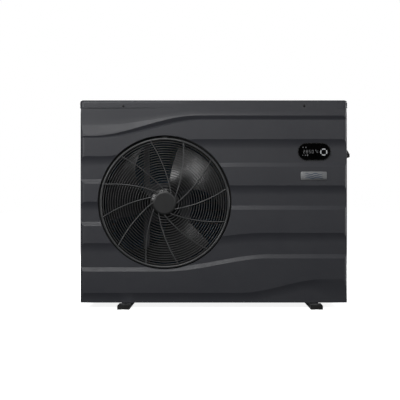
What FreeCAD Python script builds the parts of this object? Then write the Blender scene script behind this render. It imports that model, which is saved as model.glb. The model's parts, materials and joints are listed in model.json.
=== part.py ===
import FreeCAD, Part
import functools
import math
import os
import re
import Sketcher
from FreeCAD import Placement, Rotation, Vector

# A pool heat pump, in millimetres. X runs to the right of the front, Y to the back and Z up.
# Everything is laid out about the middle of the case on the floor, and the whole case is then moved by
# case_x, so that the origin of the part is the middle of its four foot bolts.

DIMENSIONS = {
    # case
    "case_x": -20, "case_width": 860, "case_depth": 360, "case_bottom": 18, "case_top": 670,
    "corner": 14, "sheet": 1.5, "lid_skirt": 25, "lid_proud": 1.5, "lid_front": 178.5, "lid_round": 8,
    "panel_top": 661.5, "post_arm": 24, "post_gap": 5.5, "partition_x": 172,
    # front panel
    "panel_wall": 3, "relief": 6, "panel_return": 30, "cove": 32, "ramp_above": 5.5,
    "ramp_below": 7.5, "groove_steepness": 0.255,
    # tray
    "tray_wall": 30, "tray_front": 170.5, "tray_gap": 3.5, "drain_x": -100, "drain_y": 60,
    "drain_bore": 5, "drain_spout": 7.5, "drain_flange": 14,
    # feet
    "foot_bolt_x": 307.5, "foot_bolt_y": 197, "foot_hole": 5.5, "foot_rail_end": 213,
    "rail_inner": 21, "rail_outer": 10, "rail_low": 3, "rail_top": 16.5, "rail_wall": 2,
    "foot_inner": 19, "foot_outer": 19.5, "foot_end": 218, "foot_start": 178, "foot_arch": 6,
    "strip_end": 165,
    # coil guards and openings in the sheets
    "slot_height": 10, "slot_pitch": 22, "slot_count": 26, "slot_low": 52,
    "window_low": 508, "window_top": 535, "window_half": 30, "cross_rail_front": 19,
    # fan, guard and shroud
    "opening_z": 341, "opening_radius": 215, "fan_x": -158, "fan_z": 339, "throat_radius": 201,
    "fan_radius": 195, "hub_radius": 50, "hub_back": 103, "blade_middle": 127, "blade_depth": 50,
    "blade_thickness": 3,
    "rim_radius": 206, "rim_wire": 3.8, "rim_depth": 176, "ring_first": 46, "ring_pitch": 8.55,
    "ring_closing": 0.03, "ring_count": 20, "ring_wire": 1.3, "spoke_wire": 2, "guard_front": 180,
    "hub_plate": 37, "tab_back": 172.9, "tab_low": 204, "tab_top": 212.5, "tab_half": 8, "boss_half": 7,
    "shroud_lip": 216, "shroud_wall": 2.5,
    # motor
    "shaft_radius": 6, "shaft_front": 167, "bearing_gap": 0.05, "bearing_radius": 13,
    "bearing_width": 8.8, "motor_radius": 46, "motor_front": 98, "motor_back": 22, "rotor_radius": 26.4,
    "strut_x": 69, "strut_width": 20, "motor_plate_half": 65,
    # evaporator
    "coil_bottom": 24, "coil_top": 640, "coil_front": 118, "coil_back": 162, "coil_right": 140,
    "coil_left": -418, "coil_leg": -140, "coil_middle": 140, "gas_hole_z": 368, "liquid_hole_z": 225,
    "bend_pitch": 50, "bend_radius": 12.5, "bend_low": 28, "coil_tube": 4.75, "coil_inner_round": 36,
    "coil_outer_round": 80,
    # compressor
    "compressor_x": 335, "compressor_y": -85, "compressor_radius": 62, "compressor_foot": 78,
    "compressor_low": 41, "compressor_top": 333, "base_thickness": 3, "foot_stud": 4,
    "accumulator_x": 222, "accumulator_y": -85, "accumulator_radius": 30, "accumulator_low": 120,
    "accumulator_top": 300, "suction_z": 86,
    # refrigerant circuit
    "valve_x": 245, "valve_y": -70, "valve_z": 440, "valve_radius": 13, "valve_half": 47,
    "valve_pitch": 23, "valve_reach": 30, "stub_radius": 6.4, "pipe": 6, "liquid_pipe": 5, "pipe_bend": 14,
    "expansion_x": 196, "side_y": 110, "expansion_z": 290, "drier_x": 228, "drier_low": 388,
    "drier_top": 456, "drier_radius": 13, "pipe_top_z": 505, "gas_top_z": 518, "liquid_top_z": 497,
    "liquid_coil_x": 335, "liquid_coil_y": 105, "gas_coil_x": 270,
    # water side
    "vessel_x": 315, "vessel_y": 85, "vessel_radius": 72, "vessel_wall": 5, "vessel_low": 60,
    "vessel_top": 470, "inlet_z": 130, "outlet_z": 400, "port_radius": 36, "port_bore": 22,
    "port_end": 205, "socket_bore": 25, "socket_depth": 35, "socket_end": 250, "thread_gap": 0.3,
    "coil_low": 84, "coil_pitch": 26, "coil_rise": 364, "coil_radius": 45, "titanium_tube": 6.35,
    # electrics
    "box_bottom": 540, "box_top": 642, "box_front": 160, "box_back": 40, "box_right": 418,
    "board_z": 552, "board_left": 190, "board_right": 350, "sink_low": 556, "sink_height": 70,
    "terminal_left": 360, "terminal_right": 392, "terminal_half": 32, "hood_y": 20, "hood_low": 494,
    "hood_top": 549, "hood_lip": 11, "hood_reach": 29.5, "hood_half": 45, "hood_wall": 2.5,
    "gland_x": 442, "gland_offset": 22, "gland_bore": 5, "gland_thread": 8, "display_x": 323.5,
    "display_z": 504.5, "display_length": 105, "display_height": 56, "lens_front": 176.6,
    "bezel_front": 177.4, "housing_front": 170.8,
    "housing_half_x": 60, "housing_half_z": 34, "badge_x": 321.7, "badge_z": 426, "badge_half_x": 42,
    "badge_half_z": 14, "badge_thickness": 1.6,
    # screws
    "screw_head": 4, "screw_rise": 1.8,
}

# Each line of the front relief: its height at the left, its height at the right, and where it bends
# from one to the other. The last one is the depth of the zone above the swell instead.
WAVE_LINES = {
    "swell_top": (592.5, 626.5, -358, -25), "swell": (555, 620.5, -400, -55),
    "edge_one": (548.6, 606.4, -374, -28), "crease_one": (488.5, 543.4, -368, -44),
    "edge_two": (409.4, 463.3, -374, 59), "crease_two": (342.2, 394.5, -368, 59),
    "edge_three": (272.8, 325.1, -352, 72), "crease_three": (208.9, 242.1, -206, 175),
    "edge_four": (126.2, 168.5, -158, 182), "crease_four": (48.4, 92.6, 85, 360),
    "top_depth": (4.5, 1.2, -358, -25),
}
WAVE_FIELDS = ("left", "right", "start", "finish")

doc = FreeCAD.newDocument("pool_heat_pump")
sheet = doc.addObject("Spreadsheet::Sheet", "dims")
nodes = []


def fill_sheet():
    cells = dict(DIMENSIONS)
    for line, numbers in WAVE_LINES.items():
        for field, number in zip(WAVE_FIELDS, numbers):
            cells["%s_%s" % (line, field)] = number
    for row, (alias, number) in enumerate(cells.items(), start=1):
        sheet.set("A%d" % row, alias)
        sheet.set("B%d" % row, str(number))
        sheet.setAlias("B%d" % row, alias)
    doc.recompute()


# ---------------------------------------------------------------- formulas and small helpers

def bound(formula):
    """A formula of plain alias names, as an expression on the sheet."""
    return re.sub(r"[a-z][a-z_]*\b(?!\()", lambda word: "dims." + word.group(0), str(formula))


def value(formula):
    return float(sheet.evalExpression(bound(formula)))


def point(*formulas):
    return Vector(*[value(formula) for formula in formulas])


def bind(thing, prop, formula):
    thing.setExpression(prop, bound(formula))


def node(thing, label):
    """Names a finished sub-part and moves it from the case's middle to the part's origin."""
    thing.Label = label
    own = dict(thing.ExpressionEngine).get(".Placement.Base.x")
    thing.setExpression("Placement.Base.x", "dims.case_x" if own is None else own + " + dims.case_x")
    nodes.append(thing)
    return thing


def block(low, high):
    """A box between two corners, each a triple of formulas."""
    solid = doc.addObject("Part::Box", "block")
    for side, axis, start, end in zip(("Length", "Width", "Height"), "xyz", low, high):
        bind(solid, side, "(%s) - (%s)" % (end, start))
        bind(solid, "Placement.Base." + axis, start)
    return solid


TURNS = {"x": Rotation(Vector(0, 1, 0), 90), "y": Rotation(Vector(1, 0, 0), -90), "z": Rotation()}


def place(solid, start, along="z"):
    solid.Placement = Placement(Vector(), TURNS[along])
    for axis, formula in zip("xyz", start):
        bind(solid, "Placement.Base." + axis, formula)
    return solid


def rod(start, along, length, radius):
    """A cylinder from a start point along X, Y or Z."""
    solid = doc.addObject("Part::Cylinder", "rod")
    bind(solid, "Radius", radius)
    bind(solid, "Height", length)
    return place(solid, start, along)


def hexagon(start, along, length, radius):
    solid = doc.addObject("Part::Prism", "hexagon")
    solid.Polygon = 6
    bind(solid, "Circumradius", radius)
    bind(solid, "Height", length)
    return place(solid, start, along)


def fuse(*pieces):
    solid = doc.addObject("Part::MultiFuse", "fuse")
    solid.Shapes = list(pieces)
    solid.Refine = True
    return solid


def cut(base, *tools):
    solid = doc.addObject("Part::Cut", "cut")
    solid.Base = base
    solid.Tool = tools[0] if len(tools) == 1 else group(*tools)
    return solid


def group(*pieces):
    """Separate solids that make one sub-part, such as a set of equal screws."""
    solid = doc.addObject("Part::Compound", "group")
    solid.Links = list(pieces)
    return solid


def shaped(shape):
    """A sub-part whose shape is worked out here from the sheet's numbers."""
    solid = doc.addObject("Part::Feature", "shaped")
    solid.Shape = shape
    solid.Placement = Placement()
    return solid


def tube(start, along, length, radius, bore):
    return cut(rod(start, along, length, radius), rod(start, along, length, bore))


def rounded_slab(low, high, side_radius, top_radius):
    """A box with its two front upright edges rounded, and a rounded rim round its top."""
    top = value(high[2]) - 0.001
    slab = block(low, high)
    for radius, is_wanted in ((side_radius, lambda edge: is_upright(edge) and edge.BoundBox.YMax < 0),
                              (top_radius, lambda edge: edge.BoundBox.ZMin > top)):
        doc.recompute()
        rounding = doc.addObject("Part::Fillet", "rounding")
        rounding.Base = slab
        size = value(radius)
        rounding.Edges = [(number, size, size) for number, edge in enumerate(slab.Shape.Edges, start=1)
                          if is_wanted(edge)]
        slab = rounding
    doc.recompute()
    return slab


def is_upright(edge):
    box = edge.BoundBox
    return box.XLength < 1e-6 and box.YLength < 1e-6


def near(edge, spot):
    box = edge.BoundBox
    return math.hypot(box.XMin - spot.x, box.YMin - spot.y) < 0.01


# ---------------------------------------------------------------- sketches and turned bodies

def new_body(name, centre=("0", "0", "0")):
    body = doc.addObject("PartDesign::Body", name)
    for axis, formula in zip("xyz", centre):
        bind(body, "Placement.Base." + axis, formula)
    return body


def new_sketch(body, plane, offset="0"):
    sketch = body.newObject("Sketcher::SketchObject", "sketch")
    planes = {feature.Role: feature for feature in body.Origin.OriginFeatures}
    sketch.AttachmentSupport = [(planes[plane], "")]
    sketch.MapMode = "FlatFace"
    sketch.setExpression("AttachmentOffset.Base.z", bound(offset))
    return sketch


def polygon(sketch, corners):
    """A closed outline whose corners are pairs of formulas."""
    first = sketch.GeometryCount
    count = len(corners)
    spots = [Vector(value(across), value(up), 0) for across, up in corners]
    for index in range(count):
        sketch.addGeometry(Part.LineSegment(spots[index], spots[(index + 1) % count]), False)
    for index in range(count):
        follower = first + (index + 1) % count
        sketch.addConstraint(Sketcher.Constraint("Coincident", first + index, 2, follower, 1))
    for index, (across, up) in enumerate(corners):
        for kind, formula in (("DistanceX", across), ("DistanceY", up)):
            rule = Sketcher.Constraint(kind, -1, 1, first + index, 1, value(formula))
            bind(sketch, "Constraints[%d]" % sketch.addConstraint(rule), formula)


def circle(sketch, across, up, radius):
    centre = Vector(value(across), value(up), 0)
    ring = sketch.addGeometry(Part.Circle(centre, Vector(0, 0, 1), value(radius)), False)
    rules = (
        (Sketcher.Constraint("DistanceX", -1, 1, ring, 3, value(across)), across),
        (Sketcher.Constraint("DistanceY", -1, 1, ring, 3, value(up)), up),
        (Sketcher.Constraint("Radius", ring, value(radius)), radius),
    )
    for rule, formula in rules:
        bind(sketch, "Constraints[%d]" % sketch.addConstraint(rule), formula)


def rectangle(sketch, left, low, right, high):
    polygon(sketch, [(left, low), (right, low), (right, high), (left, high)])


def pad(body, sketch, length, is_reversed=False, is_midplane=False):
    feature = body.newObject("PartDesign::Pad", "pad")
    feature.Profile = sketch
    feature.Reversed = is_reversed
    feature.Midplane = is_midplane
    bind(feature, "Length", length)
    doc.recompute()
    return feature


def pocket(body, sketch, length="0", is_reversed=False, is_midplane=False):
    """Cuts a sketch out of the body, right through when no length is given."""
    before = body.Shape.Volume
    feature = body.newObject("PartDesign::Pocket", "pocket")
    feature.Profile = sketch
    feature.Reversed = is_reversed
    feature.Midplane = is_midplane
    if length == "0":
        feature.Type = "ThroughAll"
    else:
        bind(feature, "Length", length)
    doc.recompute()
    if body.Shape.Volume > before - 1e-3:
        raise RuntimeError("a pocket in %s cuts nothing" % body.Name)
    return feature


def round_edges(body, radius, is_wanted):
    """Rounds the edges of a body that pass a test."""
    base = body.Tip
    names = ["Edge%d" % number for number, edge in enumerate(base.Shape.Edges, start=1) if is_wanted(edge)]
    rounding = body.newObject("PartDesign::Fillet", "rounding")
    rounding.Base = (base, names)
    bind(rounding, "Radius", radius)
    doc.recompute()


def repeated(body, feature, sketch, axis, length, count):
    pattern = body.newObject("PartDesign::LinearPattern", "pattern")
    pattern.Originals = [feature]
    pattern.Direction = (sketch, [axis])
    bind(pattern, "Length", length)
    bind(pattern, "Occurrences", count)
    body.Tip = pattern
    doc.recompute()
    return pattern


def turned(name, axis, centre, corners):
    """A body turned about an upright axis, or about one that runs front to back.

    Each corner is a pair of formulas: the distance from the axis, and the height or depth along it.
    """
    body = new_body(name, centre)
    sketch = new_sketch(body, {"z": "XZ_Plane", "y": "XY_Plane"}[axis])
    polygon(sketch, corners)
    feature = body.newObject("PartDesign::Revolution", "turning")
    feature.Profile = sketch
    feature.ReferenceAxis = (sketch, ["V_Axis"])
    feature.Angle = 360
    doc.recompute()
    return body


def bent_wire(spots, bend):
    """Straight runs through the spots, joined by tangent arcs of one radius."""
    edges = []
    start = spots[0]
    for before, corner, after in zip(spots, spots[1:], spots[2:]):
        toward = (before - corner).normalize()
        away = (after - corner).normalize()
        half = toward.getAngle(away) / 2
        reach = bend / math.tan(half)
        middle = (toward + away).normalize() * (bend / math.sin(half) - bend)
        arc_start = corner + toward * reach
        arc_end = corner + away * reach
        edges.append(Part.makeLine(start, arc_start))
        edges.append(Part.Arc(arc_start, corner + middle, arc_end).toShape())
        start = arc_end
    edges.append(Part.makeLine(start, spots[-1]))
    return Part.Wire(edges)


def bent_rod(spots, bend, radius):
    spots = [point(*spot) for spot in spots]
    path = bent_wire(spots, value(bend))
    direction = spots[1] - spots[0]
    end = Part.Wire([Part.makeCircle(value(radius), spots[0], direction)])
    return path.makePipeShell([end], True, True)


# ---------------------------------------------------------------- case

def make_base_tray():
    side = "case_width / 2 - tray_gap"
    back = "case_depth / 2 - 2"
    outer = block(("-(%s)" % side, "-tray_front", "case_bottom"), (side, back, "case_bottom + tray_wall"))
    inner = block(("-(%s - sheet)" % side, "-tray_front + sheet", "case_bottom + sheet"),
                  (side + " - sheet", back + " - sheet", "case_top"))
    drain = rod(("drain_x", "drain_y", "case_bottom - 1"), "z", "4", "drain_spout + 0.5")
    node(cut(outer, inner, drain), "base_tray")
    spout = turned("drain", "z", ("drain_x", "drain_y", "0"), [
        ("drain_bore", "5"), ("drain_spout", "5"), ("drain_spout", "15"), ("drain_flange", "15"),
        ("drain_flange", "case_bottom"), ("drain_spout", "case_bottom"),
        ("drain_spout", "case_bottom + 5"), ("drain_bore", "case_bottom + 5")])
    node(spout, "drain_nozzle")


def make_feet():
    """Two inverted steel channels run front to back under the tray, with a rubber foot in each end.

    Sizes across a channel are counted from its bolts, towards the middle of the case.
    """
    rubbers = []
    for side, outward, toward in (("left", "-", 1), ("right", "", -1)):
        middle = "%sfoot_bolt_x - case_x" % outward
        body = new_body("rail", (middle, "0", "0"))
        sketch = new_sketch(body, "XZ_Plane")
        polygon(sketch, [("%d * (%s)" % (toward, across), up) for across, up in (
            ("rail_inner", "rail_low"), ("rail_inner", "rail_top"), ("-rail_outer", "rail_top"),
            ("-rail_outer", "rail_low"), ("rail_wall - rail_outer", "rail_low"),
            ("rail_wall - rail_outer", "rail_top - rail_wall"),
            ("rail_inner - rail_wall", "rail_top - rail_wall"),
            ("rail_inner - rail_wall", "rail_low"))])
        pad(body, sketch, "2 * foot_rail_end", is_midplane=True)
        holes = new_sketch(body, "XY_Plane", "rail_top")
        for depth in ("-foot_bolt_y", "foot_bolt_y"):
            circle(holes, "0", depth, "foot_hole")
        pocket(body, holes, "rail_wall + 1")
        node(body, "foot_rail_" + side)
        for end in (-1, 1):
            rubbers.append(rubber_foot(middle, toward, end))
        inner = "%s + %d * (rail_inner - rail_wall)" % (middle, toward)
        outer = "%s - %d * (rail_outer - rail_wall)" % (middle, toward)
        left, right = (outer, inner) if toward > 0 else (inner, outer)
        rubbers.append(block((left, "-strip_end", "rail_top"), (right, "strip_end", "case_bottom")))
    node(group(*rubbers), "rubber_feet")


def rubber_foot(middle, toward, end):
    """A block inside the channel's end, with an ear outside the channel and an arched end plate."""
    body = new_body("rubber", (middle, "0", "0"))
    ear = [("-rail_outer", "rail_top + 0.5"), ("-foot_outer + 4", "rail_top + 0.5"),
           ("-foot_outer + 0.5", "rail_top - 3.5"), ("-foot_outer", "0")]
    block_outline = [
        ("foot_inner", "0"), ("foot_inner", "rail_top - rail_wall"),
        ("rail_wall - rail_outer", "rail_top - rail_wall"), ("rail_wall - rail_outer", "rail_low"),
        ("-rail_outer", "rail_low")]
    arch = [("-foot_arch", "0"), ("-foot_arch * 0.7", "2.4"), ("0", "3.2"), ("foot_arch * 0.7", "2.4"),
            ("foot_arch", "0")]
    plate_outline = arch + [
        ("foot_inner", "0"), ("foot_inner", "rail_top - rail_wall - 0.3"),
        ("-rail_outer", "rail_top - rail_wall - 0.3")]
    for outline, start, finish in ((block_outline, "foot_start", "foot_rail_end"),
                                   (plate_outline, "foot_rail_end", "foot_end")):
        sketch = new_sketch(body, "XZ_Plane", "%d * %s" % (-end, start))
        polygon(sketch, [("%d * (%s)" % (toward, across), up) for across, up in outline + ear])
        pad(body, sketch, "%s - %s" % (finish, start), is_reversed=end > 0)
    hole = new_sketch(body, "XY_Plane", "rail_top")
    circle(hole, "0", "%d * foot_bolt_y" % end, "foot_hole")
    pocket(body, hole)
    return body


def make_corner_posts():
    posts = []
    for side in (-1, 1):
        for end in (-1, 1):
            outer_x = "%d * (case_width / 2 - post_gap)" % side
            outer_y = "-tray_front + 2" if end < 0 else "case_depth / 2 - 4"
            across = "(%s) - (%d) * post_arm" % (outer_x, side)
            along = "(%s) - (%d) * post_arm" % (outer_y, end)
            wall_x = "(%s) - (%d) * sheet" % (outer_x, side)
            wall_y = "(%s) - (%d) * sheet" % (outer_y, end)
            body = new_body("post")
            sketch = new_sketch(body, "XY_Plane", "case_bottom + sheet")
            polygon(sketch, [(outer_x, outer_y), (across, outer_y), (across, wall_y),
                             (wall_x, wall_y), (wall_x, along), (outer_x, along)])
            pad(body, sketch, "case_top - case_bottom - sheet - lid_skirt")
            posts.append(body)
    node(group(*posts), "corner_posts")


def wave_height(line, across):
    """The height of one line of the relief at a place across the front."""
    left, right, start, finish = [value("%s_%s" % (line, field)) for field in WAVE_FIELDS]
    share = min(max((across - start) / (finish - start), 0.0), 1.0)
    return left + (right - left) * share * share * (3 - 2 * share)


def wave_cutter(profile):
    """A solid that cuts one recess of the relief, lofted through sections across the front."""
    reach = value("case_width / 2") + 12
    stations = 25
    sections = []
    for index in range(stations):
        across = -reach + 2 * reach * index / (stations - 1)
        corners = [Vector(across, depth, height) for depth, height in profile(across)]
        sections.append(Part.makePolygon(corners + corners[:1]))
    return Part.makeLoft(sections, True, False)


def swell_profile(across):
    """The zone under the lid, the smooth swell below it, and the groove between swell and first band."""
    outside = value("-case_depth / 2 - 2")
    proud = value("-case_depth / 2")
    above = value("case_top + 30")
    top = wave_height("swell_top", across)
    crest = wave_height("swell", across)
    edge = wave_height("edge_one", across)
    rest = proud + wave_height("top_depth", across)
    groove = proud + value("groove_steepness") * (crest - edge)
    return [(outside, above), (rest, above), (rest, top), ((rest + proud) / 2 - 0.2, (crest + top) / 2),
            (proud, crest), (groove, edge + (crest - edge) / 4), (proud, edge), (outside, edge)]


def recess_profile(crease, edge, across):
    """One recess: a cove that runs down from a crease, and a short ramp that ends in the next edge."""
    outside = value("-case_depth / 2 - 2")
    proud = value("-case_depth / 2")
    floor = proud + value("relief")
    fall = value("cove")
    top = wave_height(crease, across)
    if edge:
        low = wave_height(edge, across) - value("ramp_below")
        ramp = [(floor, wave_height(edge, across) + value("ramp_above")), (proud, low)]
    else:
        low = value("case_bottom") - 12
        ramp = [(floor, low)]
    return [(outside, top), (proud, top), (proud + 0.44 * value("relief"), top - fall / 4),
            (proud + 0.75 * value("relief"), top - fall / 2), (floor, top - fall), *ramp,
            (outside, low - 1)]


def make_front_panel():
    """A moulded panel whose face laps down in wave bands, with short returns at its sides."""
    half = "case_width / 2"
    face = "-case_depth / 2"
    back = "-case_depth / 2 + relief + panel_wall"
    body = new_body("panel")
    sketch = new_sketch(body, "XY_Plane", "case_bottom")
    polygon(sketch, [
        ("-" + half, face), (half, face), (half, face + " + panel_return"),
        (half + " - panel_wall", face + " + panel_return"), (half + " - panel_wall", back),
        ("-(%s - panel_wall)" % half, back), ("-(%s - panel_wall)" % half, face + " + panel_return"),
        ("-" + half, face + " + panel_return")])
    pad(body, sketch, "case_top - case_bottom - 2.5")
    front = value(face) + 0.001
    round_edges(body, "corner", lambda edge: is_upright(edge) and edge.BoundBox.YMax < front)

    cutters = [shaped(wave_cutter(swell_profile))]
    for crease, edge in (("crease_one", "edge_two"), ("crease_two", "edge_three"),
                         ("crease_three", "edge_four"), ("crease_four", None)):
        cutters.append(shaped(wave_cutter(functools.partial(recess_profile, crease, edge))))
    opening = rod(("fan_x", face + " - 5", "opening_z"), "y", "30", "opening_radius")
    window = stadium(face + " - 5", "30", "0.4")
    above = block(("-case_width", "-case_depth", "case_top - lid_skirt - 0.5"),
                  ("case_width", "-case_depth / 2 + panel_return + 5", "case_top"))
    under_lid = cut(above, lid_slab("sheet + 0.2", "case_top - lid_skirt - 5"))
    node(cut(body, opening, window, under_lid, *cutters), "front_panel")


def stadium(front, depth, growth):
    """An upright flat-ended oval prism at the display, larger by growth all round."""
    half = "(display_length - display_height) / 2"
    radius = "display_height / 2 + %s" % growth
    low = ("display_x - " + half, front, "display_z - (%s)" % radius)
    high = ("display_x + " + half, "(%s) + (%s)" % (front, depth), "display_z + (%s)" % radius)
    ends = [rod(("display_x %s %s" % (sign, half), front, "display_z"), "y", depth, radius)
            for sign in "-+"]
    return fuse(block(low, high), *ends)


def lid_slab(inset, bottom):
    """The outline of the lid as a solid slab, smaller by inset all round."""
    side = "case_width / 2 + lid_proud - (%s)" % inset
    return rounded_slab(
        ("-(%s)" % side, "-lid_front + (%s)" % inset, bottom),
        (side, "case_depth / 2 + lid_proud - (%s)" % inset, "case_top - (%s)" % inset),
        "corner - (%s)" % inset, "lid_round - (%s)" % inset)


def make_top_cover():
    outer = lid_slab("0", "case_top - lid_skirt")
    inner = lid_slab("sheet", "case_top - lid_skirt - 5")
    node(cut(outer, inner), "top_cover")


def slotted_panel(name, plane, offset, left, right, columns, is_reversed):
    """A sheet panel with columns of level slots, sketched on an upright plane."""
    body = new_body(name)
    outline = new_sketch(body, plane, offset)
    rectangle(outline, left, "case_bottom", right, "panel_top")
    pad(body, outline, "sheet", is_reversed)
    slots = new_sketch(body, plane, offset)
    for start, end in columns:
        rectangle(slots, start, "slot_low", end, "slot_low + slot_height")
    first = pocket(body, slots, "sheet", not is_reversed)
    repeated(body, first, slots, "V_Axis", "slot_pitch * (slot_count - 1)", "slot_count")
    return body


def make_side_and_rear_panels():
    side_front = "-case_depth / 2 + panel_return"
    back = "case_depth / 2"
    left = slotted_panel("guard", "YZ_Plane", "-case_width / 2", side_front, back,
                         [("-128", "6"), ("22", "156")], False)
    node(left, "left_coil_guard")
    rear_columns = [("-410", "-232"), ("-216", "-38"), ("-22", "154")]
    rear = slotted_panel("guard", "XZ_Plane", "-case_depth / 2", "-case_width / 2 + sheet",
                         "partition_x", rear_columns, False)
    node(rear, "rear_coil_guard")

    rear_sheet = block(("partition_x + 1", back + " - sheet", "case_bottom"),
                       ("case_width / 2 - sheet", back, "panel_top"))
    ports = [rod(("vessel_x", "100", height), "y", "120", "port_radius + 2")
             for height in ("inlet_z", "outlet_z")]
    node(cut(rear_sheet, *ports), "rear_panel")

    side_sheet = block(("case_width / 2 - sheet", side_front, "case_bottom"),
                       ("case_width / 2", back, "panel_top"))
    window = block(("case_width / 2 - 10", "hood_y - window_half", "window_low"),
                   ("case_width / 2 + 10", "hood_y + window_half", "window_top"))
    node(cut(side_sheet, window), "right_side_panel")


def make_inner_sheets():
    plate = block(("partition_x", "-tray_front + 3", "case_bottom + sheet"),
                  ("partition_x + sheet", "case_depth / 2 - 4", "case_top - lid_skirt"))
    lip = block(("partition_x", "-tray_front + 3", "case_bottom + sheet"),
                ("partition_x + 18", "-tray_front + 3 + sheet", "case_top - lid_skirt"))
    holes = [rod(("partition_x - 5", "coil_middle", height), "x", "30", "9")
             for height in ("gas_hole_z", "liquid_hole_z")]
    node(cut(fuse(plate, lip), *holes), "partition_panel")
    rail = block(("-case_width / 2 + 6", "-cross_rail_front", "case_top - lid_skirt"),
                 ("case_width / 2 - 6", "20 - cross_rail_front", "case_top - 2"))
    hollow = block(("-case_width / 2", "sheet - cross_rail_front", "case_top - lid_skirt - 1"),
                   ("case_width / 2", "20 - cross_rail_front - sheet", "case_top - 2 - sheet"))
    node(cut(rail, hollow), "top_cross_rail")


# ---------------------------------------------------------------- fan, guard and motor

FAN = ("fan_x", "0", "fan_z")
SPOKE = ((20, 33), (-6, 124), (-45, 198))
TAB_ANGLES = (45, 135, 225, 315)


def around_fan(solid, angle):
    """Turns a shape about the fan's axis, anticlockwise as seen from the front."""
    turned_shape = solid.copy()
    turned_shape.rotate(Vector(), Vector(0, -1, 0), angle)
    return turned_shape


def on_fan_axis(solid):
    for axis, formula in zip("xyz", FAN):
        bind(solid, "Placement.Base." + axis, formula)
    return solid


def make_fan_guard():
    """A round wire guard: rings behind twelve swirled spokes, all welded inside a stout rim."""
    spoke_depth = value("spoke_wire - guard_front")
    ring_depth = spoke_depth + value("spoke_wire + ring_wire")
    ahead = Vector(0, -1, 0)
    rim = Part.makeTorus(value("rim_radius"), value("rim_wire"), Vector(0, -value("rim_depth"), 0), ahead)
    path = Part.Wire([Part.Arc(*[Vector(across, spoke_depth, up) for across, up in SPOKE]).toShape()])
    start = path.Edges[0].valueAt(path.Edges[0].FirstParameter)
    heading = path.Edges[0].tangentAt(path.Edges[0].FirstParameter)
    end = Part.Wire([Part.makeCircle(value("spoke_wire"), start, heading)])
    spoke = path.makePipeShell([end], True, True)
    half = value("tab_half")
    tab = Part.makeBox(2 * half, 2, value("tab_top - tab_low"),
                       Vector(-half, -value("tab_back") - 2, value("tab_low")))
    shapes = [rim]
    shapes += [around_fan(spoke, 30 * index) for index in range(12)]
    shapes += [around_fan(tab, angle) for angle in TAB_ANGLES]
    outer = shapes[0].fuse(shapes[1:])
    rings = []
    for index in range(int(value("ring_count"))):
        radius = value("ring_first + %d * (ring_pitch - %d * ring_closing)" % (index, index))
        rings.append(Part.makeTorus(radius, value("ring_wire"), Vector(0, ring_depth, 0), ahead))
    node(on_fan_axis(shaped(Part.makeCompound(outer.Solids + rings))), "fan_guard")
    plate = turned("plate", "y", FAN, [
        ("0", "-guard_front - 2.4"), ("hub_plate - 5", "-guard_front - 2.4"),
        ("hub_plate", "-guard_front - 1"), ("hub_plate", "-guard_front"), ("0", "-guard_front")])
    node(plate, "guard_hub_plate")


def make_fan_shroud():
    """A bell mouth round the fan, with four bosses on its flange that carry the guard's tabs."""
    flange = "-case_depth / 2 + relief + panel_wall + 0.2"
    rear_face = flange + " + shroud_wall"
    mouth = turned("shroud", "y", FAN, [
        ("shroud_lip", flange), ("opening_radius + 15", flange), ("opening_radius + 15", rear_face),
        ("shroud_lip + 3", rear_face), ("208", "-164"), ("throat_radius + shroud_wall", "-155"),
        ("throat_radius + shroud_wall", "-hub_back"), ("throat_radius", "-hub_back"),
        ("throat_radius", "-156"), ("205", "-165.5")])
    half = value("boss_half")
    front = -value("tab_back")
    back = value(rear_face)
    head = Part.makeBox(2 * half, back - front, 5, Vector(-half, front, value("tab_top") - 5))
    foot = Part.makeBox(2 * half, value("shroud_wall"), 7,
                        Vector(-half, value(flange), value("tab_top") - 1))
    boss = head.fuse(foot)
    bosses = [on_fan_axis(shaped(around_fan(boss, angle))) for angle in TAB_ANGLES]
    node(fuse(mouth, *bosses), "fan_shroud")


def fan_blade():
    """One swept blade: a smooth pitched surface, thickened front to back."""
    inner = value("hub_radius") - 2
    tip = value("fan_radius")
    span_steps = 6
    sweep_steps = 8
    rows = []
    for step in range(span_steps + 1):
        radius = inner + (tip - inner) * step / span_steps
        share = radius / tip
        first_edge = 47 - 34 * share - 24 * share ** 3
        sweep = 38 + 26 * share + 24 * share ** 3
        row = []
        for turn in range(sweep_steps + 1):
            along = turn / sweep_steps
            angle = math.radians(first_edge + sweep * along)
            hollow = 5 * math.sin(math.pi * along)
            back = value("blade_depth") * (along - 0.5) + hollow - value("blade_middle")
            row.append(Vector(radius * math.cos(angle), back, radius * math.sin(angle)))
        rows.append(row)
    surface = Part.BSplineSurface()
    surface.interpolate(rows)
    return surface.toShape().extrude(Vector(0, value("blade_thickness"), 0))


def make_fan():
    hub = turned("hub", "y", ("0", "0", "0"), [
        ("shaft_radius", "-153"), ("20", "-153"), ("24", "-157"), ("36", "-157"), ("46", "-153"),
        ("hub_radius", "-147"), ("hub_radius", "-hub_back"), ("hub_radius - 3", "-hub_back"),
        ("hub_radius - 3", "-145"), ("40", "-149"), ("16", "-149"), ("14", "-147"), ("14", "-114"),
        ("shaft_radius", "-114")])
    blade = fan_blade()
    solid = hub.Shape.fuse([around_fan(blade, 120 * index) for index in range(3)])
    node(on_fan_axis(shaped(solid.removeSplitter())), "fan")
    nut = cut(hexagon(("fan_x", "-162", "fan_z"), "y", "8.5", "9.8"),
              rod(("fan_x", "-170", "fan_z"), "y", "30", "shaft_radius"))
    node(nut, "fan_nut")
    node(rod(("fan_x", "-shaft_front", "fan_z"), "y", "shaft_front - motor_back - 1", "shaft_radius"),
         "motor_shaft")


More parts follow.
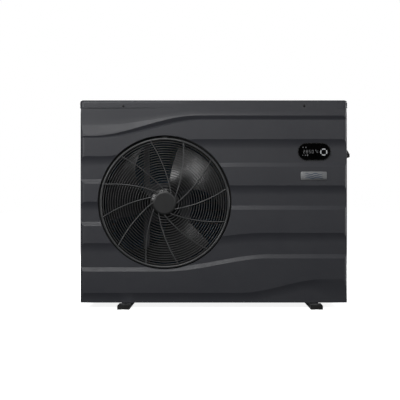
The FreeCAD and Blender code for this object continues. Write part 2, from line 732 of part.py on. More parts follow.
def make_motor():
    front = "-motor_front"
    back = "-motor_back"
    seat = "bearing_width + 0.2"
    shell = turned("housing", "y", FAN, [
        ("bearing_radius", front), ("20", front), ("20", front + " + 4"),
        ("motor_radius - 3", front + " + 4"), ("motor_radius", front + " + 7"), ("motor_radius", back),
        ("bearing_radius", back), ("bearing_radius", back + " - 9"), ("20", back + " - 9"),
        ("20", back + " - 5"), ("motor_radius - 4", back + " - 5"),
        ("motor_radius - 4", front + " + 9"), ("bearing_radius", front + " + 9")])
    node(shell, "motor_housing")
    races = [tube(("fan_x", start, "fan_z"), "y", "bearing_width", "bearing_radius",
                  "shaft_radius + bearing_gap") for start in (front, "%s - (%s)" % (back, seat))]
    node(group(*races), "motor_bearings")
    node(tube(("fan_x", front + " + 14", "fan_z"), "y", "48", "motor_radius - 4", "rotor_radius + 0.6"),
         "motor_stator")
    node(tube(("fan_x", front + " + 16", "fan_z"), "y", "44", "rotor_radius", "shaft_radius"),
         "motor_rotor")
    plate = block(("fan_x - strut_x - strut_width / 2", back, "fan_z - motor_plate_half"),
                  ("fan_x + strut_x + strut_width / 2", back + " + 3", "fan_z + motor_plate_half"))
    relief = rod(("fan_x", "-40", "fan_z"), "y", "60", "12")
    node(cut(plate, relief), "motor_plate")
    struts = []
    for sign in "-+":
        middle = "fan_x %s strut_x" % sign
        outer = block((middle + " - strut_width / 2", back + " + 3", "case_bottom + sheet"),
                      (middle + " + strut_width / 2", back + " + 23", "case_top - lid_skirt"))
        inner = block((middle + " - strut_width / 2 + sheet", back + " + 3 + sheet", "case_bottom"),
                      (middle + " + strut_width / 2 - sheet", back + " + 30", "case_top"))
        struts.append(cut(outer, inner))
    node(group(*struts), "motor_struts")


# ---------------------------------------------------------------- evaporator

def make_evaporator():
    body = new_body("fins")
    sketch = new_sketch(body, "XY_Plane", "coil_bottom")
    inner_left = "coil_left + coil_back - coil_front"
    polygon(sketch, [
        ("coil_left", "coil_leg"), (inner_left, "coil_leg"), (inner_left, "coil_front"),
        ("coil_right", "coil_front"), ("coil_right", "coil_back"), ("coil_left", "coil_back")])
    pad(body, sketch, "coil_top - coil_bottom")
    for corner_x, corner_y, radius in ((inner_left, "coil_front", "coil_inner_round"),
                                       ("coil_left", "coil_back", "coil_outer_round")):
        spot = point(corner_x, corner_y, "0")
        round_edges(body, radius, lambda edge: is_upright(edge) and near(edge, spot))
    node(body, "evaporator_fins")

    right = block(("coil_right", "coil_front - 4", "coil_bottom"),
                  ("coil_right + sheet", "coil_back + 4", "coil_top"))
    front = block(("coil_left - 4", "coil_leg - sheet", "coil_bottom"),
                  (inner_left + " + 4", "coil_leg", "coil_top"))
    node(group(right, front), "coil_end_plates")

    bends = []
    for row in ("coil_front + 11", "coil_back - 11"):
        for index in range(12):
            bend = doc.addObject("Part::Torus", "bend")
            bind(bend, "Radius1", "bend_radius")
            bind(bend, "Radius2", "coil_tube")
            bend.Angle3 = 180
            height = "coil_bottom + bend_low + %d * bend_pitch" % index
            bend.Placement = Placement(Vector(), Rotation(Vector(1, 0, 0), 90) * Rotation(
                Vector(0, 0, 1), -90))
            for axis, formula in zip("xyz", ("coil_right + sheet", row, height)):
                bind(bend, "Placement.Base." + axis, formula)
            bends.append(bend)
    node(group(*bends), "evaporator_bends")


# ---------------------------------------------------------------- refrigeration

def make_compressor():
    centre = ("compressor_x", "compressor_y", "0")
    shell = turned("shell", "z", centre, [
        ("0", "compressor_low"), ("46", "compressor_low"), ("compressor_radius", "compressor_low + 15"),
        ("compressor_radius", "compressor_top - 37"), ("compressor_radius - 6", "compressor_top - 19"),
        ("compressor_radius - 22", "compressor_top - 7"), ("18", "compressor_top - 1"),
        ("0", "compressor_top")])
    stub = rod(("compressor_x - compressor_radius - 6", "compressor_y", "suction_z"), "x", "20", "10")
    node(fuse(shell, stub), "compressor")
    make_compressor_feet(centre)
    accumulator = turned("bottle", "z", ("accumulator_x", "accumulator_y", "0"), [
        ("0", "accumulator_low"), ("16", "accumulator_low + 1"),
        ("accumulator_radius", "accumulator_low + 14"),
        ("accumulator_radius", "accumulator_top - 14"), ("16", "accumulator_top - 1"),
        ("0", "accumulator_top")])
    node(accumulator, "accumulator")


def make_compressor_feet(centre):
    """A three-armed plate under the compressor, bolted down through rubber grommets."""
    arms = (90, 210, 330)
    low = "compressor_low - base_thickness"
    base = new_body("plate", centre)
    sketch = new_sketch(base, "XY_Plane", low)
    corners = []
    for angle in arms:
        for turn in (-9, 9):
            across = "%.5f * (compressor_foot + 16)" % math.cos(math.radians(angle + turn))
            along = "%.5f * (compressor_foot + 16)" % math.sin(math.radians(angle + turn))
            corners.append((across, along))
    polygon(sketch, corners)
    pad(base, sketch, "base_thickness")
    holes = new_sketch(base, "XY_Plane", "compressor_low")
    grommets = []
    bolts = []
    for angle in arms:
        across = "%.5f * compressor_foot" % math.cos(math.radians(angle))
        along = "%.5f * compressor_foot" % math.sin(math.radians(angle))
        circle(holes, across, along, "foot_stud + 0.5")
        spot = ("compressor_x + " + across, "compressor_y + " + along)
        grommets.append(turned("grommet", "z", (spot[0], spot[1], "0"), [
            ("foot_stud", "case_bottom + sheet"), ("13", "case_bottom + sheet"), ("13", "27"),
            ("10", "29"), ("10", "31"), ("13", "33"), ("13", low), ("foot_stud", low)]))
        bolts.append(rod((spot[0], spot[1], "case_bottom + sheet"), "z", "34", "foot_stud"))
        nut = cut(hexagon((spot[0], spot[1], "compressor_low"), "z", "6.5", "7.5"),
                  rod((spot[0], spot[1], "compressor_low - 10"), "z", "30", "foot_stud"))
        bolts.append(nut)
    pocket(base, holes, "10")
    node(base, "compressor_base_plate")
    node(group(*grommets), "compressor_grommets")
    node(group(*bolts), "compressor_bolts")


def make_refrigerant_valves():
    barrel = rod(("valve_x - valve_half", "valve_y", "valve_z"), "x", "2 * valve_half", "valve_radius")
    stubs = [rod(("valve_x + %d * valve_pitch" % index, "valve_y", "valve_z - valve_reach"), "z", "25",
                 "stub_radius") for index in (-1, 0, 1)]
    stubs.append(rod(("valve_x", "valve_y", "valve_z + 5"), "z", "valve_reach - 5", "stub_radius"))
    coil = block(("valve_x - 16", "valve_y - 38", "valve_z - 16"),
                 ("valve_x + 16", "valve_y - valve_radius - 0.2", "valve_z + 16"))
    solenoid = fuse(coil, rod(("valve_x", "valve_y - 48", "valve_z"), "y", "14", "5"))
    node(group(fuse(barrel, *stubs), solenoid), "four_way_valve")
    can = rod(("expansion_x", "side_y", "expansion_z"), "z", "40", "18")
    neck = rod(("expansion_x", "side_y", "expansion_z - 35"), "z", "37", "9")
    node(fuse(can, neck), "expansion_valve")
    drier = turned("drier", "z", ("drier_x", "side_y", "0"), [
        ("0", "drier_low"), ("5", "drier_low"), ("drier_radius", "drier_low + 10"),
        ("drier_radius", "drier_top - 10"), ("5", "drier_top"), ("0", "drier_top")])
    node(drier, "filter_drier")


def make_pipes():
    """Copper runs of the refrigerant circuit, each a list of corners that are rounded off."""
    compressor = ("compressor_x", "compressor_y")
    bottle = ("accumulator_x", "accumulator_y")
    valve = ("valve_x", "valve_y")
    gas_stub = ("valve_x - valve_pitch", "valve_y")
    coil_stub = ("valve_x + valve_pitch", "valve_y")
    below_valve = ("valve_z - valve_reach",)
    coil_entry = ("coil_right + sheet", "coil_middle")
    drier = ("drier_x", "side_y")
    expansion = ("expansion_x", "side_y")

    discharge = [compressor + ("compressor_top",), compressor + ("pipe_top_z",),
                 valve + ("pipe_top_z",), valve + ("valve_z + valve_reach",)]
    node(shaped(bent_rod(discharge, "pipe_bend + 2", "pipe")), "discharge_pipe")
    suction = [valve + below_valve, valve + ("gas_hole_z",), bottle + ("accumulator_top + 40",),
               bottle + ("accumulator_top",)]
    feed = [bottle + ("accumulator_low",), bottle + ("suction_z",),
            ("compressor_x - compressor_radius - 6", "compressor_y", "suction_z")]
    pair = [bent_rod(suction, "pipe_bend + 2", "pipe"), bent_rod(feed, "pipe_bend", "pipe + 2")]
    node(shaped(Part.makeCompound(pair)), "suction_pipes")
    gas = [gas_stub + below_valve, gas_stub + ("gas_hole_z + 20",), (gas_stub[0], "30", "gas_hole_z + 20"),
           (gas_stub[0], "30", "gas_top_z"), ("gas_coil_x", "vessel_y", "gas_top_z"),
           ("gas_coil_x", "vessel_y", "vessel_top - 8")]
    evaporator = [coil_stub + below_valve, coil_stub + ("gas_hole_z",),
                  ("partition_x + 16", "-12", "gas_hole_z"),
                  ("partition_x + 16", "coil_middle", "gas_hole_z"), coil_entry + ("gas_hole_z",)]
    runs = [bent_rod(gas, "pipe_bend", "pipe"), bent_rod(evaporator, "pipe_bend", "pipe")]
    node(shaped(Part.makeCompound(runs)), "gas_pipes")
    upper = [("liquid_coil_x", "liquid_coil_y", "100"),
             ("liquid_coil_x", "liquid_coil_y", "liquid_top_z"), drier + ("liquid_top_z",),
             drier + ("drier_top",)]
    middle = [drier + ("drier_low",), drier + ("expansion_z - 18",),
              ("expansion_x + 9", "side_y", "expansion_z - 18")]
    lower = [expansion + ("expansion_z - 35",), expansion + ("liquid_hole_z",),
             ("partition_x", "coil_middle", "liquid_hole_z"), coil_entry + ("liquid_hole_z",)]
    runs = [bent_rod(upper, "pipe_bend", "liquid_pipe"), bent_rod(middle, "9", "liquid_pipe"),
            bent_rod(lower, "8", "liquid_pipe")]
    node(shaped(Part.makeCompound(runs)), "liquid_pipes")


# ---------------------------------------------------------------- water side

def make_exchanger():
    """A plastic vessel with two water ports at its back and the titanium coil inside it."""
    height = "vessel_top - vessel_low"
    port_start = "vessel_y + 40"
    vessel = [rod(("vessel_x", "vessel_y", "vessel_low"), "z", height, "vessel_radius")]
    hollows = [rod(("vessel_x", "vessel_y", "vessel_low + 6"), "z", height, "vessel_radius - vessel_wall")]
    for port in ("inlet_z", "outlet_z"):
        vessel.append(rod(("vessel_x", port_start, port), "y", "port_end - (%s)" % port_start,
                          "port_radius"))
        hollows.append(rod(("vessel_x", "vessel_y", port), "y", "140", "port_bore"))
    skirt = tube(("vessel_x", "vessel_y", "case_bottom + sheet"), "z", "vessel_low - case_bottom - sheet",
                 "vessel_radius - 8", "vessel_radius - 13")
    node(cut(fuse(skirt, *vessel), *hollows), "heat_exchanger_shell")
    lid = turned("cap", "z", ("vessel_x", "vessel_y", "0"), [
        ("0", "vessel_top"), ("vessel_radius + 4", "vessel_top"),
        ("vessel_radius + 4", "vessel_top + 8"), ("vessel_radius - 4", "vessel_top + 14"),
        ("0", "vessel_top + 16")])
    holes = [rod(("gas_coil_x", "vessel_y", "vessel_top - 10"), "z", "40", "pipe"),
             rod(("liquid_coil_x", "liquid_coil_y", "vessel_top - 10"), "z", "40", "liquid_pipe")]
    node(cut(lid, *holes), "exchanger_cap")
    coil_foot = point("vessel_x", "vessel_y", "coil_low")
    turns = Part.makeHelix(value("coil_pitch"), value("coil_rise"), value("coil_radius"))
    turns.translate(coil_foot)
    start = coil_foot + Vector(value("coil_radius"), 0, 0)
    end = Part.Wire([Part.makeCircle(value("titanium_tube"), start, Vector(0, 1, 0))])
    node(shaped(Part.Wire(turns.Edges).makePipeShell([end], True, True)), "titanium_coil")


def make_unions():
    tails = []
    seals = []
    for name, height in (("inlet", "inlet_z"), ("outlet", "outlet_z")):
        centre = ("vessel_x", "0", height)
        seals.append(tube(("vessel_x", "port_end", height), "y", "1", "33", "24"))
        tails.append(turned("tail", "y", centre, [
            ("port_bore", "port_end + 1"), ("35", "port_end + 1"), ("35", "port_end + 7"),
            ("socket_bore + 4.5", "port_end + 9"), ("socket_bore + 4.5", "socket_end - 6"),
            ("socket_bore + 6", "socket_end - 6"), ("socket_bore + 6", "socket_end"),
            ("socket_bore", "socket_end"), ("socket_bore", "socket_end - socket_depth"),
            ("port_bore", "socket_end - socket_depth")]))
        thread = "port_radius + thread_gap"
        ring = turned("nut", "y", centre, [
            (thread, "port_end - 20"), ("port_radius + 10", "port_end - 20"),
            ("port_radius + 11", "port_end - 18"), ("port_radius + 11", "port_end + 13"),
            ("port_radius + 8", "port_end + 16"), ("socket_bore + 4.8", "port_end + 16"),
            ("socket_bore + 4.8", "port_end + 9.5"), (thread, "port_end + 7.3")])
        grips = []
        for index in range(12):
            angle = math.radians(30 * index)
            grips.append(rod((
                "vessel_x + %.5f * (port_radius + 10)" % math.cos(angle), "port_end - 18",
                "%s + %.5f * (port_radius + 10)" % (height, math.sin(angle))), "y", "31", "3.5"))
        node(fuse(ring, *grips), "union_nut_" + name)
    node(group(*tails), "union_tails")
    node(group(*seals), "union_seals")


# ---------------------------------------------------------------- electrics

def make_electronics():
    left = "partition_x + sheet"
    outer = block((left, "-box_front", "box_bottom"), ("box_right", "box_back", "box_top"))
    inner = block((left + " + sheet", "sheet - box_front", "box_bottom + sheet"),
                  ("box_right - sheet", "box_back - sheet", "box_top + 50"))
    entry = block(("terminal_right + 4", "-window_half", "box_bottom - 1"),
                  ("box_right - 4", "window_half", "box_bottom + 3"))
    node(cut(outer, inner, entry), "electronics_box")
    make_inverter_board()

    sink = new_body("sink")
    sketch = new_sketch(sink, "XY_Plane", "sink_low")
    rectangle(sketch, "partition_x - 7", "-110", "partition_x", "20")
    pad(sink, sketch, "sink_height")
    fin = new_sketch(sink, "XY_Plane", "sink_low")
    rectangle(fin, "partition_x - 44", "-109", "partition_x - 7", "-107")
    blade = pad(sink, fin, "sink_height")
    repeated(sink, blade, fin, "V_Axis", "126", "15")
    node(sink, "heat_sink")

    terminals = [block(("terminal_left", "-terminal_half", "board_z + 1"),
                       ("terminal_right", "terminal_half", "board_z + 22")),
                 block(("terminal_left + 4", "-terminal_half + 2", "box_bottom + sheet"),
                       ("terminal_right - 4", "terminal_half - 2", "board_z + 1.5"))]
    screws = [rod((across, str(along), "board_z + 8"), "z", "20", "3.4")
              for across in ("terminal_left + 8", "terminal_right - 8") for along in range(-24, 25, 12)]
    node(cut(fuse(*terminals), *screws), "terminal_block")


def make_inverter_board():
    """The inverter's circuit board on four posts, with its capacitors and larger parts."""
    top = "board_z + 1.6"
    parts = [block(("board_left", "-145", "board_z"), ("board_right", "25", top))]
    for index in range(3):
        parts.append(rod(("board_left + 25 + %d * 32" % index, "-110", top), "z", "42", "13"))
    for across, along, high in ((215, -60, 22), (265, -60, 16), (310, -50, 26), (230, -15, 12)):
        parts.append(block((str(across), str(along), top),
                           (str(across + 26), str(along + 30), "%s + %d" % (top, high))))
    for across in ("board_left + 6", "board_right - 10"):
        for along in ("-139", "15"):
            parts.append(rod((across, along, "box_bottom + sheet"), "z",
                             "board_z - box_bottom - sheet", "3"))
    node(fuse(*parts), "inverter_board")


def make_wiring_hood():
    """A wedge-shaped cover on the right side, closed below by a plate with two cable glands."""
    side = "case_width / 2"
    outer = side + " + hood_reach"
    inner = outer + " - hood_wall"
    body = new_body("hood", ("0", "hood_y", "0"))
    sketch = new_sketch(body, "XZ_Plane")
    polygon(sketch, [(side, "hood_low"), (outer, "hood_low"), (outer, "hood_low + hood_lip"),
                     (side + " + 3", "hood_top"), (side, "hood_top")])
    pad(body, sketch, "2 * hood_half", is_midplane=True)
    round_edges(body, "2.4", lambda edge: edge.BoundBox.ZLength > 30 and edge.BoundBox.XLength > 20)
    inside = new_sketch(body, "XZ_Plane")
    polygon(inside, [(side, "hood_low + hood_wall"), (inner, "hood_low + hood_wall"),
                     (inner, "hood_low + hood_lip - 1"), (side, "hood_top - 6")])
    pocket(body, inside, "2 * (hood_half - 3)", is_midplane=True)
    holes = new_sketch(body, "XY_Plane", "hood_low + hood_wall")
    for sign in ("-", ""):
        circle(holes, "gland_x", sign + "gland_offset", "gland_thread")
    pocket(body, holes, "hood_wall + 1")
    node(body, "wiring_hood")
    glands = []
    for sign in "-+":
        at = ("gland_x", "hood_y %s gland_offset" % sign)
        cap = rod(at + ("hood_low - 18",), "z", "10", "gland_thread + 0.5")
        hexagonal = hexagon(at + ("hood_low - 8",), "z", "8", "9.8")
        thread = rod(at + ("hood_low - 1",), "z", "hood_wall + 5", "gland_thread")
        nut = hexagon(at + ("hood_low + hood_wall",), "z", "3", "10")
        bore = rod(at + ("hood_low - 20",), "z", "40", "gland_bore")
        glands.append(cut(fuse(cap, hexagonal, thread, nut), bore))
    node(group(*glands), "cable_glands")


def make_display_and_badge():
    node(stadium("-lens_front", "3.6", "-1.6"), "display_lens")
    bezel = cut(stadium("-bezel_front", "5", "0"), stadium("-case_depth / 2", "12", "-1.5"))
    node(bezel, "display_bezel")
    front = "-housing_front"
    shell = block(("display_x - housing_half_x", front, "display_z - housing_half_z"),
                  ("display_x + housing_half_x", front + " + 20.8", "display_z + housing_half_z"))
    hollow = block(("display_x - housing_half_x + 2", front + " - 1.6", "display_z - housing_half_z + 2"),
                   ("display_x + housing_half_x - 2", front + " + 18.8",
                    "display_z + housing_half_z - 2"))
    node(cut(shell, hollow), "display_housing")
    board = block(("display_x - housing_half_x + 3", front + " + 7.8", "display_z - housing_half_z + 3"),
                  ("display_x + housing_half_x - 3", front + " + 9.4",
                   "display_z + housing_half_z - 3"))
    node(board, "display_board")
    plate = block(("badge_x - badge_half_x", "-case_depth / 2 - badge_thickness",
                   "badge_z - badge_half_z"),
                  ("badge_x + badge_half_x", "-case_depth / 2", "badge_z + badge_half_z"))
    node(plate, "badge")


def make_case_screws():
    """Cross-head screws: two on the front of the lid, the rest round the sides and the back."""
    size = ("screw_rise", "screw_head")
    lid_height = "case_top - 18.5"
    left_face = "-case_width / 2 - screw_rise"
    screws = []
    for across in ("-291", "291"):
        screws.append(rod((across, "-lid_front - screw_rise", lid_height), "y", *size))
    for along in ("-100", "100"):
        screws.append(rod(("case_width / 2 + lid_proud", along, lid_height), "x", *size))
        screws.append(rod((left_face + " - lid_proud", along, lid_height), "x", *size))
    for across in ("-300", "0", "300"):
        screws.append(rod((across, "case_depth / 2 + lid_proud", lid_height), "y", *size))
    for across in ("-422", "-224", "-30", "163", "182", "420"):
        for height in ("34", "634"):
            screws.append(rod((across, "case_depth / 2", height), "y", *size))
    for along in ("-138", "168"):
        for height in ("34", "330", "634"):
            screws.append(rod(("case_width / 2", along, height), "x", *size))
            screws.append(rod((left_face, along, height), "x", *size))
    node(group(*screws), "case_screws")


# ---------------------------------------------------------------- the whole unit

def check_document():
    doc.recompute()
    for thing in doc.Objects:
        if "Invalid" in thing.State or "Error" in thing.State:
            raise RuntimeError("%s (%s) failed: %s" % (thing.Name, thing.Label, thing.State))
    for thing in nodes:
        if thing.Shape.isNull() or not thing.Shape.isValid() or not thing.Shape.Solids:
            raise RuntimeError("%s has no valid shape" % thing.Label)


def write_parts():
    os.makedirs("parts", exist_ok=True)
    for thing in nodes:
        thing.Shape.exportStep("parts/%s.step" % thing.Label)
    print("%d sub-parts written" % len(nodes))


fill_sheet()
make_base_tray()
make_feet()
make_corner_posts()
make_front_panel()
make_top_cover()
make_side_and_rear_panels()
make_inner_sheets()
make_fan_guard()
make_fan_shroud()
make_fan()
make_motor()
make_evaporator()
make_compressor()
make_refrigerant_valves()
make_pipes()
make_exchanger()
make_unions()
make_electronics()
make_wiring_hood()
make_display_and_badge()
make_case_screws()
check_document()
write_parts()
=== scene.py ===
import json
import math

import bmesh
import bpy
from mathutils import Matrix, Vector


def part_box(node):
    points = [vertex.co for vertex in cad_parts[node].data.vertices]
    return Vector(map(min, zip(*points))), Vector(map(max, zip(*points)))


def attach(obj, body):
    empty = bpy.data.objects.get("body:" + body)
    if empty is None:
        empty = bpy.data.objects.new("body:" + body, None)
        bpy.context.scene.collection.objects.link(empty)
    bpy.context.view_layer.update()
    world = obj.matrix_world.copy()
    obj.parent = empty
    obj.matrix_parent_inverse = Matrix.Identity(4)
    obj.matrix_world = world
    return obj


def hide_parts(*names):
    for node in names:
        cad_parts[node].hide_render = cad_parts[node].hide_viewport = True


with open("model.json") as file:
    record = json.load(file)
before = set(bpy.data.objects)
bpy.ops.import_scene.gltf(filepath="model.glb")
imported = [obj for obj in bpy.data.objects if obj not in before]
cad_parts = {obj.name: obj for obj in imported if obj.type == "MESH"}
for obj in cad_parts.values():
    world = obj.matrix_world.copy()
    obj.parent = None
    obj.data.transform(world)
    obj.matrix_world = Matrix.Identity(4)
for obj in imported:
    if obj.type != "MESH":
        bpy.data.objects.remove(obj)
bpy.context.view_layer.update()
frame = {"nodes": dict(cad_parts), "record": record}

# Looks of the pool heat pump, in metres, in the part's own frame: X to the right of the front,
# Y to the back, Z up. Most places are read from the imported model.

NODES = frame["nodes"]
PANEL_LOW, PANEL_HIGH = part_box("front_panel")
LID_LOW, LID_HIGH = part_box("top_cover")
MIDDLE = (PANEL_LOW.x + PANEL_HIGH.x) / 2
HALF_WIDTH = (PANEL_HIGH.x - PANEL_LOW.x) / 2
FRONT = PANEL_LOW.y
CORNER = 0.014
WALL = 0.003

FAN_LOW, FAN_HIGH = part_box("fan_shroud")
FAN_X = (FAN_LOW.x + FAN_HIGH.x) / 2
FAN_Z = (FAN_LOW.z + FAN_HIGH.z) / 2
OPENING_ABOVE_FAN = 0.002
OPENING_Z = FAN_Z + OPENING_ABOVE_FAN
OPENING_RADIUS = 0.215

# The front relief: how deep its recesses lie, how far a cove reaches below its crease, and how far the
# sloping edge of a band reaches above and below its line.
RELIEF = 0.006
COVE = 0.032
RAMP_ABOVE = 0.0055
RAMP_BELOW = 0.0075

# Each line of the relief: its height at the left, its height at the right, and where it starts and ends
# its bend from one to the other, counted from the middle of the case. The last entry holds depths.
WAVE_LINES = {
    "swell_top": (0.5925, 0.6265, -0.358, -0.025), "swell": (0.555, 0.6205, -0.400, -0.055),
    "edge_one": (0.5486, 0.6064, -0.374, -0.028), "crease_one": (0.4895, 0.5444, -0.368, -0.044),
    "edge_two": (0.4094, 0.4633, -0.374, 0.059), "crease_two": (0.3432, 0.3955, -0.368, 0.059),
    "edge_three": (0.2728, 0.3251, -0.352, 0.072), "crease_three": (0.2099, 0.2431, -0.206, 0.175),
    "edge_four": (0.1262, 0.1685, -0.158, 0.182), "crease_four": (0.0499, 0.0941, 0.085, 0.360),
    "top_depth": (0.0045, 0.0012, -0.358, -0.025),
}


def ease(share):
    """Runs smoothly from 0 to 1 as share does."""
    share = min(max(share, 0.0), 1.0)
    return share * share * (3 - 2 * share)


def slide(share):
    """Runs from 0 to 1 at an even slope, rounded at both ends."""
    share = min(max(share, 0.0), 1.0)
    rounding = 0.08
    slope = 1 / (1 - rounding)
    if share < rounding:
        return slope * share * share / (2 * rounding)
    if share > 1 - rounding:
        return 1 - slope * (1 - share) * (1 - share) / (2 * rounding)
    return slope * (share - rounding / 2)


def wave_height(line, across):
    left, right, start, finish = WAVE_LINES[line]
    return left + (right - left) * ease((across - start) / (finish - start))


# ---------------------------------------------------------------- mesh helpers

def scene_object(name, data):
    """An object in the scene that carries a mesh, a lamp or a camera."""
    thing = bpy.data.objects.new(name, data)
    bpy.context.scene.collection.objects.link(thing)
    return thing


def new_object(name, vertices, faces, is_smooth=True, sharp_angle=30):
    mesh = bpy.data.meshes.new(name)
    mesh.from_pydata([tuple(vertex) for vertex in vertices], [], faces)
    mesh.validate()
    built = bmesh.new()
    built.from_mesh(mesh)
    bmesh.ops.recalc_face_normals(built, faces=built.faces)
    built.to_mesh(mesh)
    built.free()
    thing = scene_object(name, mesh)
    if is_smooth:
        smooth(thing, sharp_angle)
    return thing


def smooth(thing, sharp_angle=30):
    thing.data.shade_smooth()
    thing.data.set_sharp_from_angle(angle=math.radians(sharp_angle))


def apply_modifiers(thing):
    """Replaces the mesh by what its modifiers make of it."""
    graph = bpy.context.evaluated_depsgraph_get()
    finished = bpy.data.meshes.new_from_object(thing.evaluated_get(graph))
    thing.modifiers.clear()
    thing.data = finished


def cut_away(thing, tool):
    modifier = thing.modifiers.new("cut", "BOOLEAN")
    modifier.operation = "DIFFERENCE"
    modifier.solver = "EXACT"
    modifier.object = tool
    apply_modifiers(thing)
    bpy.data.objects.remove(tool)


def join(name, pieces):
    """One mesh object made of several."""
    built = bmesh.new()
    for piece in pieces:
        built.from_mesh(piece.data)
    mesh = bpy.data.meshes.new(name)
    built.to_mesh(mesh)
    built.free()
    for piece in pieces:
        bpy.data.objects.remove(piece)
    return scene_object(name, mesh)


def grid_faces(columns, rows, is_closed=False):
    """Faces of a grid whose vertices run row by row within each column."""
    faces = []
    for column in range(columns if is_closed else columns - 1):
        after = (column + 1) % columns
        for row in range(rows - 1):
            faces.append((column * rows + row, after * rows + row,
                          after * rows + row + 1, column * rows + row + 1))
    return faces


def tube_faces(start, rings, sides):
    """Faces of an open tube whose rings of vertices follow each other from vertex number start."""
    faces = []
    for ring in range(rings - 1):
        first = start + ring * sides
        for side in range(sides):
            after = (side + 1) % sides
            faces.append((first + side, first + after, first + sides + after, first + sides + side))
    return faces


def prism_faces(count):
    """Faces of a prism: two outlines of so many vertices each, and the walls between them."""
    faces = [tuple(range(count)), tuple(range(2 * count - 1, count - 1, -1))]
    for index in range(count):
        after = (index + 1) % count
        faces.append((index, index + count, after + count, after))
    return faces


def prism(name, outline, front, back):
    """An upright outline of (x, z) pairs, carried from front to back."""
    vertices = [(x, front, z) for x, z in outline] + [(x, back, z) for x, z in outline]
    return new_object(name, vertices, prism_faces(len(outline)), is_smooth=False)


def stadium_outline(centre_x, centre_z, length, height):
    """A level bar with round ends, as (x, z) pairs."""
    steps = 24
    radius = height / 2
    outline = []
    for side, start in ((1, -90), (-1, 90)):
        middle = centre_x + side * (length / 2 - radius)
        for step in range(steps + 1):
            angle = math.radians(start + 180 * step / steps)
            outline.append((middle + radius * math.cos(angle), centre_z + radius * math.sin(angle)))
    return outline


# ---------------------------------------------------------------- material helpers

class Recipe:
    """A material's node tree, with short ways to add the nodes that the finishes share."""

    def __init__(self, name):
        self.material = bpy.data.materials.new(name)
        self.material.use_nodes = True
        self.tree = self.material.node_tree
        self.tree.nodes.clear()
        self.shader = self.tree.nodes.new("ShaderNodeBsdfPrincipled")
        output = self.tree.nodes.new("ShaderNodeOutputMaterial")
        self.link(self.shader.outputs[0], output.inputs["Surface"])
        self.place = self.tree.nodes.new("ShaderNodeTexCoord").outputs["Object"]

    def link(self, start, end):
        self.tree.links.new(start, end)

    def set(self, **values):
        for name, number in values.items():
            self.shader.inputs[name.replace("_", " ")].default_value = number
        return self

    def stretched(self, x, y, z):
        """The object's own coordinates, scaled along each axis."""
        mapping = self.tree.nodes.new("ShaderNodeMapping")
        mapping.inputs["Scale"].default_value = (x, y, z)
        self.link(self.place, mapping.inputs["Vector"])
        return mapping.outputs[0]

    def noise(self, scale, detail, place=None):
        node = self.tree.nodes.new("ShaderNodeTexNoise")
        node.inputs["Scale"].default_value = scale
        node.inputs["Detail"].default_value = detail
        self.link(place or self.place, node.inputs["Vector"])
        return node.outputs["Fac"]

    def cells(self, scale, output="Color"):
        node = self.tree.nodes.new("ShaderNodeTexVoronoi")
        node.inputs["Scale"].default_value = scale
        self.link(self.place, node.inputs["Vector"])
        return node.outputs[output]

    def waves(self, scale, axis):
        node = self.tree.nodes.new("ShaderNodeTexWave")
        node.bands_direction = axis
        node.inputs["Scale"].default_value = scale
        self.link(self.place, node.inputs["Vector"])
        return node.outputs["Fac"]

    def spread(self, factor, low, high, start=0.3, end=0.7):
        """Maps a pattern's middle range onto low to high."""
        node = self.tree.nodes.new("ShaderNodeMapRange")
        node.inputs["From Min"].default_value = start
        node.inputs["From Max"].default_value = end
        node.inputs["To Min"].default_value = low
        node.inputs["To Max"].default_value = high
        self.link(factor, node.inputs["Value"])
        return node.outputs["Result"]

    def tint(self, factor, first, second, start=0.3, end=0.7):
        """Blends two colours by a pattern."""
        node = self.tree.nodes.new("ShaderNodeValToRGB")
        node.color_ramp.elements[0].position = start
        node.color_ramp.elements[1].position = end
        node.color_ramp.elements[0].color = (*first, 1)
        node.color_ramp.elements[1].color = (*second, 1)
        self.link(factor, node.inputs["Fac"])
        return node.outputs["Color"]

    def colour(self, output):
        self.link(output, self.shader.inputs["Base Color"])

    def roughness(self, output):
        self.link(output, self.shader.inputs["Roughness"])

    def bump(self, pattern, depth):
        """Raises the surface by a pattern, with its depth in metres."""
        node = self.tree.nodes.new("ShaderNodeBump")
        node.inputs["Strength"].default_value = 1.0
        node.inputs["Distance"].default_value = depth
        self.link(pattern, node.inputs["Height"])
        self.link(node.outputs["Normal"], self.shader.inputs["Normal"])


def shade(value, red=1.0, green=1.0, blue=1.0):
    return (value * red, value * green, value * blue)


# ---------------------------------------------------------------- finishes

def coated_case(name, grain_scale, grain_depth):
    """Anthracite with fine grain, for the moulding and, with other grain, for the painted steel."""
    level = 0.030
    recipe = Recipe(name).set(Specular_IOR_Level=0.45)
    cloud = recipe.noise(7, 4)
    grain = recipe.noise(grain_scale, 2)
    recipe.colour(recipe.tint(cloud, shade(level * 0.94, 0.96, 0.99, 1.20),
                              shade(level * 1.06, 0.97, 1.0, 1.17)))
    recipe.roughness(recipe.spread(recipe.noise(60, 3), 0.40, 0.48))
    recipe.bump(grain, grain_depth)
    return recipe.material


def case_plastic():
    return coated_case("case_plastic", 1400, 0.00005)


def case_steel():
    return coated_case("case_steel", 700, 0.00004)


